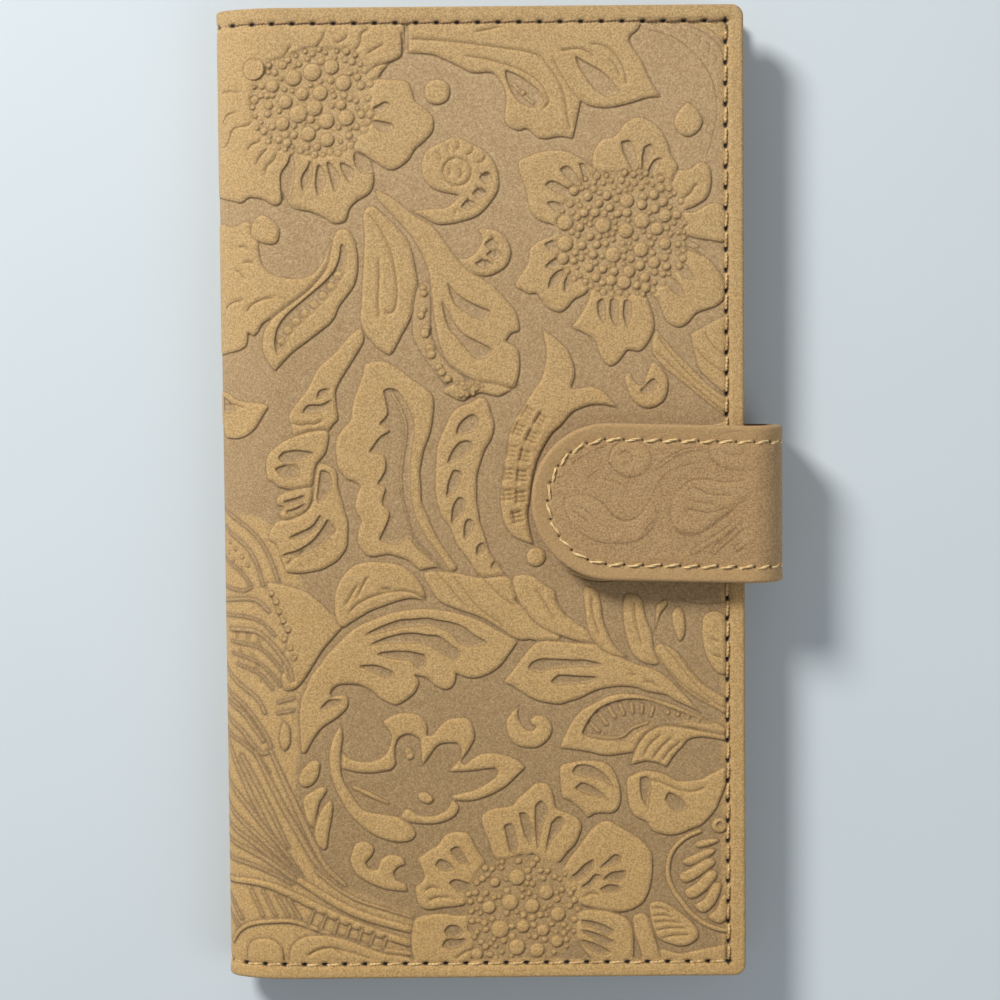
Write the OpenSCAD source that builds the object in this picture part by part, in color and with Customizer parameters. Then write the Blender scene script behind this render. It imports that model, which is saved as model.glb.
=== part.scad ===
// Folding leather cheque book cover with a snap tab, lying closed on its back.
// X runs from the folded spine to the fore-edge, Y along the spine, Z up through the layers.

/* [Cover] */
// Width of the closed cover, from the spine's bend to the fore-edge
cover_w = 89; // [80:1:110]
// Length of the cover along the spine
cover_l = 165; // [140:1:200]
// Corner radius at the fore-edge
corner_r = 2; // [0.5:0.5:8]
// Free height between the two sides, where the cheque pad goes
pad_gap = 4.5; // [4.5:0.5:8]

/* [Layers] */
// Thickness of the tooled outer leather
leather_t = 1.4; // [1.2:0.1:2]
// Thickness of the lining leather
lining_t = 0.8; // [0.6:0.1:1.2]
// Thickness of a pocket panel
pocket_t = 0.8; // [0.6:0.1:1.2]
// Thickness of a card slot panel
slot_t = 0.5; // [0.4:0.1:0.8]

/* [Spine] */
// Radius of the outer face at the bend's tip
spine_tip_r = 4.1; // [3.6:0.1:4.6]
// Slope that each side reaches where its shoulder runs into the tip
shoulder_deg = 30; // [26:1:34]
// Slit between neighbouring strips of the bend
fold_slit = 0.15; // [0.1:0.05:0.3]

/* [Pockets] */
// Depth of the two long pockets, from the fore-edge to their mouths
pocket_d = 66; // [55:1:70]
// Length of the card slots along the spine
card_w = 97; // [92:1:120]
// Distance from the long pocket's mouth to the first card slot's mouth
card_inset = 5; // [3:1:10]
// Step between the mouths of neighbouring card slots
card_step = 12; // [8:1:16]

/* [Tab] */
// Width of the tab
tab_w = 25.4; // [18:0.2:32]
// Reach of the tab over the front, from the fore-edge to its round tip
tab_l = 36.2; // [32:0.2:50]
// Place of the tab's middle along the spine
tab_y = -2; // [-20:1:20]
// Thickness of the tab's outer leather
tab_leather_t = 1.4; // [1.2:0.1:1.8]
// Thickness of the tab's lining
tab_lining_t = 0.8; // [0.6:0.1:1]
// Radius of the tab's bends at half its thickness
tab_bend_r = 5; // [4:0.1:5.2]
// Free gap between the fore-edge and the start of the tab's bend
tab_gap = 0.4; // [0.2:0.1:2]
// Length of the thinned tongue that is sewn in between the back's layers
tongue_l = 14; // [8:1:25]

/* [Snap] */
// Radius of the snap's two discs
snap_r = 7; // [6.8:0.2:9]
// Thickness of the stud's disc
stud_disc_t = 0.8; // [0.6:0.1:1.2]
// Radius of the stud's post
stud_r = 2.2; // [1.8:0.1:2.4]
// Height of the post above its disc
stud_h = 1.2; // [0.8:0.1:1.3]
// Clearance between the post and the socket's hole
stud_clear = 0.4; // [0.3:0.1:0.6]
// Gap between the closed snap's two faces
snap_gap = 0.1; // [0.05:0.05:0.3]
// Height of the socket's case
case_h = 1.5; // [1.4:0.1:2.5]
// Wall of the socket's case
case_wall = 0.35; // [0.3:0.05:0.5]
// Thickness of the socket's back plate
back_plate_t = 0.4; // [0.3:0.1:0.6]
// Radius of the washers behind the leather
washer_r = 6; // [5.8:0.1:6.6]
// Thickness of the washers
washer_t = 0.4; // [0.3:0.05:0.45]
// Radius of the hole in the middle of a washer
washer_hole_r = 1.5; // [1:0.1:2]
// Width of a prong
prong_w = 2.4; // [1.6:0.1:3]
// Thickness of a prong
prong_t = 0.35; // [0.25:0.05:0.4]
// Distance from the snap's axis to the middle of a prong
prong_r = 3.9; // [3.2:0.1:4]
// Length of the prong's bent foot
foot_l = 1.8; // [1:0.1:1.8]
// Clearance round prongs, washers and the magnet
fit = 0.05; // [0.02:0.01:0.1]

/* [Hidden] */

tan_leather = [0.74, 0.59, 0.38];
tab_leather = [0.66, 0.53, 0.38];
lining_brown = [0.56, 0.40, 0.25];
snap_brass = [0.80, 0.66, 0.38];
magnet_grey = [0.35, 0.35, 0.37];

cards = 3;
cover_t = 2 * (leather_t + lining_t + pocket_t) + cards * slot_t + pad_gap;
fore_x = cover_w / 2;
wall_t = leather_t + lining_t;

// Outer radius of the long, flat shoulder that leaves room for the tip
shoulder_r = (cover_t / 2 - spine_tip_r * cos(shoulder_deg)) / (1 - cos(shoulder_deg));
tip_x = -cover_w / 2 + spine_tip_r;
shoulder_x = tip_x + (shoulder_r - spine_tip_r) * sin(shoulder_deg);
fold_step = 3;
// Turn angles at which the bend is divided, from the back, 0, to the front, 180
tip_split = (90 + shoulder_deg) / 2;
splits = [shoulder_deg / 2, tip_split, 180 - tip_split, 180 - shoulder_deg / 2];
turns = [shoulder_deg, 90 - shoulder_deg, 90 - shoulder_deg, shoulder_deg];

tab_t = tab_leather_t + tab_lining_t;
bend_x = fore_x + tab_gap;
tongue_z = leather_t;
root_mid_z = tongue_z + lining_t / 2;
flap_z = cover_t + stud_disc_t + snap_gap + case_h + back_plate_t;
flap_mid_z = flap_z + tab_t / 2;
snap_x = fore_x - tab_l + tab_w / 2;
recess_d = washer_t + prong_t + fit;
hole_r = stud_r + stud_clear;

// A point of the bend's lower half at turn angle a, at depth t under the outer face
function half_pt(a, t) = a <= shoulder_deg
    ? [shoulder_x - (shoulder_r - t) * sin(a), shoulder_r - (shoulder_r - t) * cos(a)]
    : [tip_x - (spine_tip_r - t) * sin(a), cover_t / 2 - (spine_tip_r - t) * cos(a)];

// The same for the whole bend, whose upper half mirrors the lower one
function fold_pt(u, t) = u <= 90 ? half_pt(u, t)
    : [half_pt(180 - u, t)[0], cover_t - half_pt(180 - u, t)[1]];

// Radius at which an arc of radius r and turn angle a opens flat with its length kept
function hinge_r(r, a) = r * (a / 2) * PI / 180 / sin(a / 2);

// The hinge line of fold k, at half the thickness of leather and lining together
function half_axis(a) = a < shoulder_deg
    ? let (r = hinge_r(shoulder_r - wall_t / 2, shoulder_deg))
        [shoulder_x - r * sin(a), shoulder_r - r * cos(a)]
    : let (r = hinge_r(spine_tip_r - wall_t / 2, 90 - shoulder_deg))
        [tip_x - r * sin(a), cover_t / 2 - r * cos(a)];
function fold_axis(k) = k < 2 ? half_axis(splits[k])
    : [half_axis(180 - splits[k])[0], cover_t - half_axis(180 - splits[k])[1]];

function turn_steps(u0, u1) = let (n = ceil((u1 - u0) / fold_step))
    [for (i = [0:n]) u0 + (u1 - u0) * i / n];
function reversed(list) = [for (i = [len(list) - 1:-1:0]) list[i]];

// One layer of the bend between two turn angles, from depth t0 to depth t1
function band(u0, u1, t0, t1) = concat(
    [for (u = turn_steps(u0, u1)) fold_pt(u, t0)],
    [for (u = reversed(turn_steps(u0, u1))) fold_pt(u, t1)]);

// A slit through a fold with an open V on its outer side, about the hinge line
module fold_cut(axis, direction, turn, reach) {
    flare = reach * tan(turn / 2 + 1) + fold_slit / 2;
    translate(axis) rotate(direction)
        polygon([
            [-fold_slit / 2, -reach], [fold_slit / 2, -reach], [fold_slit / 2, 0],
            [flare, reach], [-flare, reach], [-fold_slit / 2, 0]
        ]);
}

module spine_cut(k) {
    fold_cut(fold_axis(k), 180 - splits[k], turns[k], wall_t);
}

// Turns a cross-section in X and Z into a solid of the given length along Y
module along_spine(length) {
    rotate([90, 0, 0]) linear_extrude(height = length, center = true) children();
}

// Plan of a sheet from x0 to the fore-edge, with the two corners there rounded
module fore_plan(x0) {
    translate([x0, -cover_l / 2]) square([fore_x - corner_r - x0, cover_l]);
    translate([x0, corner_r - cover_l / 2]) square([fore_x - x0, cover_l - 2 * corner_r]);
    for (s = [-1, 1]) translate([fore_x - corner_r, s * (cover_l / 2 - corner_r)])
        circle(r = corner_r, $fn = 48);
}

// One layer of the back: flat from the fore-edge, and curved up to the first fold
module back_sheet(t0, t1) {
    intersection() {
        along_spine(cover_l) difference() {
            polygon(concat([[fore_x, t0]], band(0, splits[0], t0, t1), [[fore_x, t1]]));
            spine_cut(0);
        }
        translate([0, 0, -cover_t]) linear_extrude(height = 3 * cover_t) fore_plan(-cover_w);
    }
}

// The same layer of the front is the back's, turned over
module front_sheet(t0, t1) {
    translate([0, 0, cover_t]) mirror([0, 0, 1]) back_sheet(t0, t1);
}

module spine_strip(k, t0, t1) {
    along_spine(cover_l) difference() {
        polygon(band(splits[k], splits[k + 1], t0, t1));
        spine_cut(k);
        spine_cut(k + 1);
    }
}

module spine_leather(k) {
    color(tan_leather) spine_strip(k, 0, leather_t);
}

module spine_lining(k) {
    color(lining_brown) spine_strip(k, leather_t, wall_t);
}

module back_cover_leather() {
    color(tan_leather) back_sheet(0, leather_t);
}

// The lining is notched at the fore-edge, where the tab's tongue lies in its thickness
module back_lining() {
    color(lining_brown) difference() {
        back_sheet(leather_t, wall_t);
        translate([fore_x - tongue_l - fit, tab_y - tab_w / 2 - fit, leather_t - lining_t])
            cube([tongue_l + tab_w, tab_w + 2 * fit, 3 * lining_t]);
    }
}

module pocket_panel(z) {
    color(lining_brown) translate([0, 0, z])
        linear_extrude(height = pocket_t) fore_plan(fore_x - pocket_d);
}

module checkbook_pocket() {
    pocket_panel(wall_t);
}

// Holes for the snap's prongs, through a sheet of thickness t
module prong_slots(t) {
    for (a = [0, 180]) rotate([0, 0, a])
        translate([-prong_w / 2 - fit, prong_r - prong_t / 2 - fit, -t])
            cube([prong_w + 2 * fit, prong_t + 2 * fit, 3 * t]);
}

module washer_recess() {
    translate([0, 0, -fit]) cylinder(h = recess_d + fit, r = washer_r + fit, $fn = 64);
}

module front_cover_leather() {
    color(tan_leather) difference() {
        front_sheet(0, leather_t);
        translate([snap_x, tab_y, cover_t - leather_t]) {
            washer_recess();
            prong_slots(leather_t);
        }
    }
}

module front_lining() {
    color(lining_brown) front_sheet(leather_t, wall_t);
}

module register_pocket() {
    pocket_panel(cover_t - wall_t - pocket_t);
}

// Card slot i lies under the long pocket's panel, each mouth a step nearer to the fore-edge
module card_slot(i) {
    mouth_x = fore_x - pocket_d + card_inset + i * card_step;
    color(lining_brown) translate([0, 0, cover_t - wall_t - pocket_t - (i + 1) * slot_t])
        linear_extrude(height = slot_t) intersection() {
            fore_plan(mouth_x);
            translate([mouth_x, cover_l / 2 - card_w]) square([cover_w, card_w]);
        }
}

// An arc of the tab's lower or top bend, at depth t under its outer face
function tab_arc(top, a0, a1, t) = let (
        r = tab_bend_r + tab_t / 2 - t,
        mid_z = top ? flap_mid_z - tab_bend_r : root_mid_z + tab_bend_r)
    [for (a = turn_steps(a0, a1)) [bend_x + r * sin(a), mid_z - r * cos(a)]];

function tab_axis(top) = let (r = hinge_r(tab_bend_r, 90))
    [bend_x + r * sin(45), top ? flap_mid_z - tab_bend_r + r * cos(45) : root_mid_z + tab_bend_r - r * cos(45)];

function tab_band(top, a0, a1, t0, t1) = concat(
    tab_arc(top, a0, a1, t0), reversed(tab_arc(top, a0, a1, t1)));

module tab_cut(top) {
    fold_cut(tab_axis(top), top ? 315 : 225, 90, tab_t);
}

module tab_solid() {
    translate([0, tab_y, 0]) along_spine(tab_w) children();
}

module tab_root(t0, t1) {
    tab_solid() difference() {
        polygon(tab_band(false, 0, 45, t0, t1));
        tab_cut(false);
    }
}

// The middle runs up past the fore-edge, between the halves of the two bends
module tab_bend(t0, t1) {
    tab_solid() difference() {
        polygon(concat(
            tab_arc(false, 45, 90, t0), tab_arc(true, 90, 135, t0),
            reversed(tab_arc(true, 90, 135, t1)), reversed(tab_arc(false, 45, 90, t1))));
        tab_cut(false);
        tab_cut(true);
    }
}

module flap_plan() {
    translate([snap_x, tab_y - tab_w / 2]) square([bend_x - snap_x, tab_w]);
    translate([snap_x, tab_y]) circle(r = tab_w / 2, $fn = 96);
}

module tab_flap(t0, t1) {
    tab_solid() difference() {
        polygon(tab_band(true, 135, 180, t0, t1));
        tab_cut(true);
    }
    translate([0, 0, flap_z + tab_t - t1]) linear_extrude(height = t1 - t0) flap_plan();
}

// The outer leather runs on, thinned, as the tongue between the back's layers
module tab_root_leather() {
    tongue_end = bend_x - fore_x + tongue_l;
    bend_top = root_mid_z - tab_t / 2 + tab_leather_t;
    color(tab_leather) {
        tab_root(0, tab_leather_t);
        translate([fore_x - tongue_l, tab_y - tab_w / 2, tongue_z]) {
            cube([tongue_end, tab_w, lining_t]);
            cube([tongue_end + tab_gap / 2, tab_w, bend_top - tongue_z]);
        }
    }
}

module tab_root_lining() {
    color(lining_brown) tab_root(tab_leather_t, tab_t);
}

module tab_bend_leather() {
    color(tab_leather) tab_bend(0, tab_leather_t);
}

module tab_bend_lining() {
    color(lining_brown) tab_bend(tab_leather_t, tab_t);
}

module tab_flap_leather() {
    color(tab_leather) difference() {
        tab_flap(0, tab_leather_t);
        translate([snap_x, tab_y, flap_z + tab_lining_t]) washer_recess();
    }
}

module tab_flap_lining() {
    color(lining_brown) difference() {
        tab_flap(tab_leather_t, tab_t);
        translate([snap_x, tab_y, flap_z]) prong_slots(tab_lining_t);
    }
}

// Two prongs of height h above their plate, bent outwards over the washer
module prongs(h) {
    for (a = [0, 180]) rotate([0, 0, a]) {
        translate([-prong_w / 2, prong_r - prong_t / 2, -fit]) cube([prong_w, prong_t, h + fit]);
        translate([-prong_w / 2, prong_r - prong_t / 2, h - prong_t]) cube([prong_w, foot_l, prong_t]);
    }
}

module washer() {
    difference() {
        cylinder(h = washer_t, r = washer_r, $fn = 64);
        translate([0, 0, -washer_t]) cylinder(h = 3 * washer_t, r = washer_hole_r, $fn = 32);
        prong_slots(washer_t);
    }
}

// The disc's rim and the post's end are chamfered
module snap_stud() {
    rim = stud_disc_t / 4;
    color(snap_brass) translate([snap_x, tab_y, cover_t]) {
        rotate_extrude($fn = 64) polygon([
            [0, 0], [snap_r, 0], [snap_r, stud_disc_t - rim], [snap_r - rim, stud_disc_t],
            [stud_r, stud_disc_t], [stud_r, stud_disc_t + stud_h - rim],
            [stud_r - rim, stud_disc_t + stud_h], [0, stud_disc_t + stud_h]
        ]);
        mirror([0, 0, 1]) prongs(leather_t);
    }
}

module snap_stud_washer() {
    color(snap_brass) translate([snap_x, tab_y, cover_t - leather_t + recess_d - washer_t]) washer();
}

// A shallow cup round a hollow middle, open upwards for the magnet
module snap_socket_case() {
    color(snap_brass) translate([snap_x, tab_y, flap_z - back_plate_t - case_h])
        rotate_extrude($fn = 64) polygon([
            [hole_r, 0], [snap_r, 0], [snap_r, case_h], [snap_r - case_wall, case_h],
            [snap_r - case_wall, case_wall], [hole_r + case_wall, case_wall],
            [hole_r + case_wall, case_h], [hole_r, case_h]
        ]);
}

module snap_ring_magnet() {
    color(magnet_grey) translate([snap_x, tab_y, flap_z - back_plate_t - case_h + case_wall]) difference() {
        cylinder(h = case_h - case_wall - fit, r = snap_r - case_wall - fit, $fn = 64);
        translate([0, 0, -case_h]) cylinder(h = 3 * case_h, r = hole_r + case_wall + fit, $fn = 64);
    }
}

module snap_socket_plate() {
    color(snap_brass) translate([snap_x, tab_y, flap_z - back_plate_t]) {
        cylinder(h = back_plate_t, r = snap_r, $fn = 64);
        translate([0, 0, back_plate_t]) prongs(tab_lining_t + recess_d);
    }
}

module snap_socket_washer() {
    color(snap_brass) translate([snap_x, tab_y, flap_z + tab_lining_t]) washer();
}

back_cover_leather();
back_lining();
checkbook_pocket();
spine_leather(0);  // spine_leather_back
spine_leather(1);  // spine_leather_middle
spine_leather(2);  // spine_leather_front
spine_lining(0);  // spine_lining_back
spine_lining(1);  // spine_lining_middle
spine_lining(2);  // spine_lining_front
front_cover_leather();
front_lining();
register_pocket();
card_slot(0);  // card_slot_upper
card_slot(1);  // card_slot_middle
card_slot(2);  // card_slot_lower
tab_root_leather();
tab_root_lining();
tab_bend_leather();
tab_bend_lining();
tab_flap_leather();
tab_flap_lining();
snap_stud();
snap_stud_washer();
snap_socket_case();
snap_ring_magnet();
snap_socket_plate();
snap_socket_washer();
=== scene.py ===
import math
import random

import bpy
import numpy as np
from mathutils import Matrix, Vector


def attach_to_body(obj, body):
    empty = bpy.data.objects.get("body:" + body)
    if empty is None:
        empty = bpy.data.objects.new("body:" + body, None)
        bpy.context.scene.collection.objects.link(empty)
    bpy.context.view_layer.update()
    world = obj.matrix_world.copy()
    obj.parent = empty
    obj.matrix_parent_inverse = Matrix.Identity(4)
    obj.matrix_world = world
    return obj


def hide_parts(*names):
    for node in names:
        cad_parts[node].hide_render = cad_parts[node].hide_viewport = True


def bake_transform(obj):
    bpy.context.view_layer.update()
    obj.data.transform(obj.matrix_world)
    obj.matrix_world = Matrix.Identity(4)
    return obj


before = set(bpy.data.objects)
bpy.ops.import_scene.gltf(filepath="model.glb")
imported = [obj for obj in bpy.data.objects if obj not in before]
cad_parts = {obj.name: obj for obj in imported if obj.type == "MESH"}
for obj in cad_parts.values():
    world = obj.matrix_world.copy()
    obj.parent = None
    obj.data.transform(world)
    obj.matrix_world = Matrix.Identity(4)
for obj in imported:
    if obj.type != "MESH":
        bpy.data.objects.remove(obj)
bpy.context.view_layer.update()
MM = 0.001

# Sizes of the solids, in mm
FORE_X = 44.5
HALF_L = 82.5
CORNER_R = 2.0
COVER_T = 12.0
LEATHER_T = 1.4
WALL_T = 2.2
PANEL_T = 0.8
SLOT_T = 0.5
SHOULDER = math.radians(30)
SHOULDER_R = 18.2818
SHOULDER_X = -33.3091
TIP_R = 4.1
TIP_X = -40.4
POCKET_D = 66.0
CARD_W = 97.0
CARD_INSET = 5.0
CARD_STEP = 12.0
TAB_W = 25.4
TAB_Y = -2.0
TAB_TIP_X = 8.3
TAB_T = 2.2
BEND_R = 5.0
BEND_X = 44.9
ROOT_MID = 1.8
FLAP_MID = 15.9
TONGUE_L = 14.0

# Drawing frame of the ornament: units to the mm, and the place of its origin on the cover
UNIT = 5.9
DRAW_X, DRAW_Y = 500.0, 500.0
COVER_AT_X, COVER_AT_Y = 3.0, -0.45
DRAW_TILT = 1.396e-4
DRAW_TURN = 0.0087

# Where the sheet's stretches meet, measured along the drawing's x
EDGE_FRONT = SHOULDER_X - SHOULDER_R * math.sin(SHOULDER)
TIP_ARC = TIP_R * math.radians(60)
SPINE_MID = EDGE_FRONT - TIP_ARC
EDGE_BACK = SPINE_MID - TIP_ARC
BACK_FLAT = EDGE_BACK - (SHOULDER_X - EDGE_FRONT)
BACK_END = BACK_FLAT - (FORE_X - SHOULDER_X)


def place(xd):
    """Point of the closed cover's outer face, and its outward normal, for a place along the sheet."""
    xd = np.asarray(xd, float)
    back = xd < SPINE_MID
    m = np.where(back, 2 * SPINE_MID - xd, xd)
    tip = m < EDGE_FRONT
    flat = m >= SHOULDER_X
    a = np.where(tip, SHOULDER + (EDGE_FRONT - m) / TIP_R,
                 np.arcsin(np.clip((SHOULDER_X - m) / SHOULDER_R, 0, math.sin(SHOULDER))))
    a = np.where(flat, 0.0, a)
    x = np.where(tip, TIP_X - TIP_R * np.sin(a), m)
    z = np.where(tip, COVER_T / 2 + TIP_R * np.cos(a), COVER_T - SHOULDER_R * (1 - np.cos(a)))
    z = np.where(back, COVER_T - z, z)
    nx = -np.sin(a)
    nz = np.where(back, -np.cos(a), np.cos(a))
    return x, z, nx, nz


def tab_place(q):
    """The same for the tab's outer face: q is x on the flap, and runs on round both bends to the root."""
    q = np.asarray(q, float)
    r = BEND_R + TAB_T / 2
    quarter = r * math.pi / 2
    rise = FLAP_MID - ROOT_MID - 2 * BEND_R
    d = q - BEND_X
    a_top = np.clip(d / r, 0, math.pi / 2)
    a_low = np.clip((d - quarter - rise) / r, 0, math.pi / 2)
    a = a_top + a_low
    x = BEND_X + r * np.sin(a)
    z_top = FLAP_MID - BEND_R + r * np.cos(a_top)
    z_low = ROOT_MID + BEND_R - r * np.sin(a_low)
    z = np.where(d < quarter, z_top, np.where(d < quarter + rise, FLAP_MID - BEND_R - (d - quarter), z_low))
    x = np.where(d < 0, q, x)
    z = np.where(d < 0, FLAP_MID + TAB_T / 2, z)
    run_on = d - 2 * quarter - rise
    x = np.where(run_on > 0, BEND_X - run_on, x)
    return x, z, np.where(d < 0, 0.0, np.sin(a)), np.where(d < 0, 1.0, np.cos(a))

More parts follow.
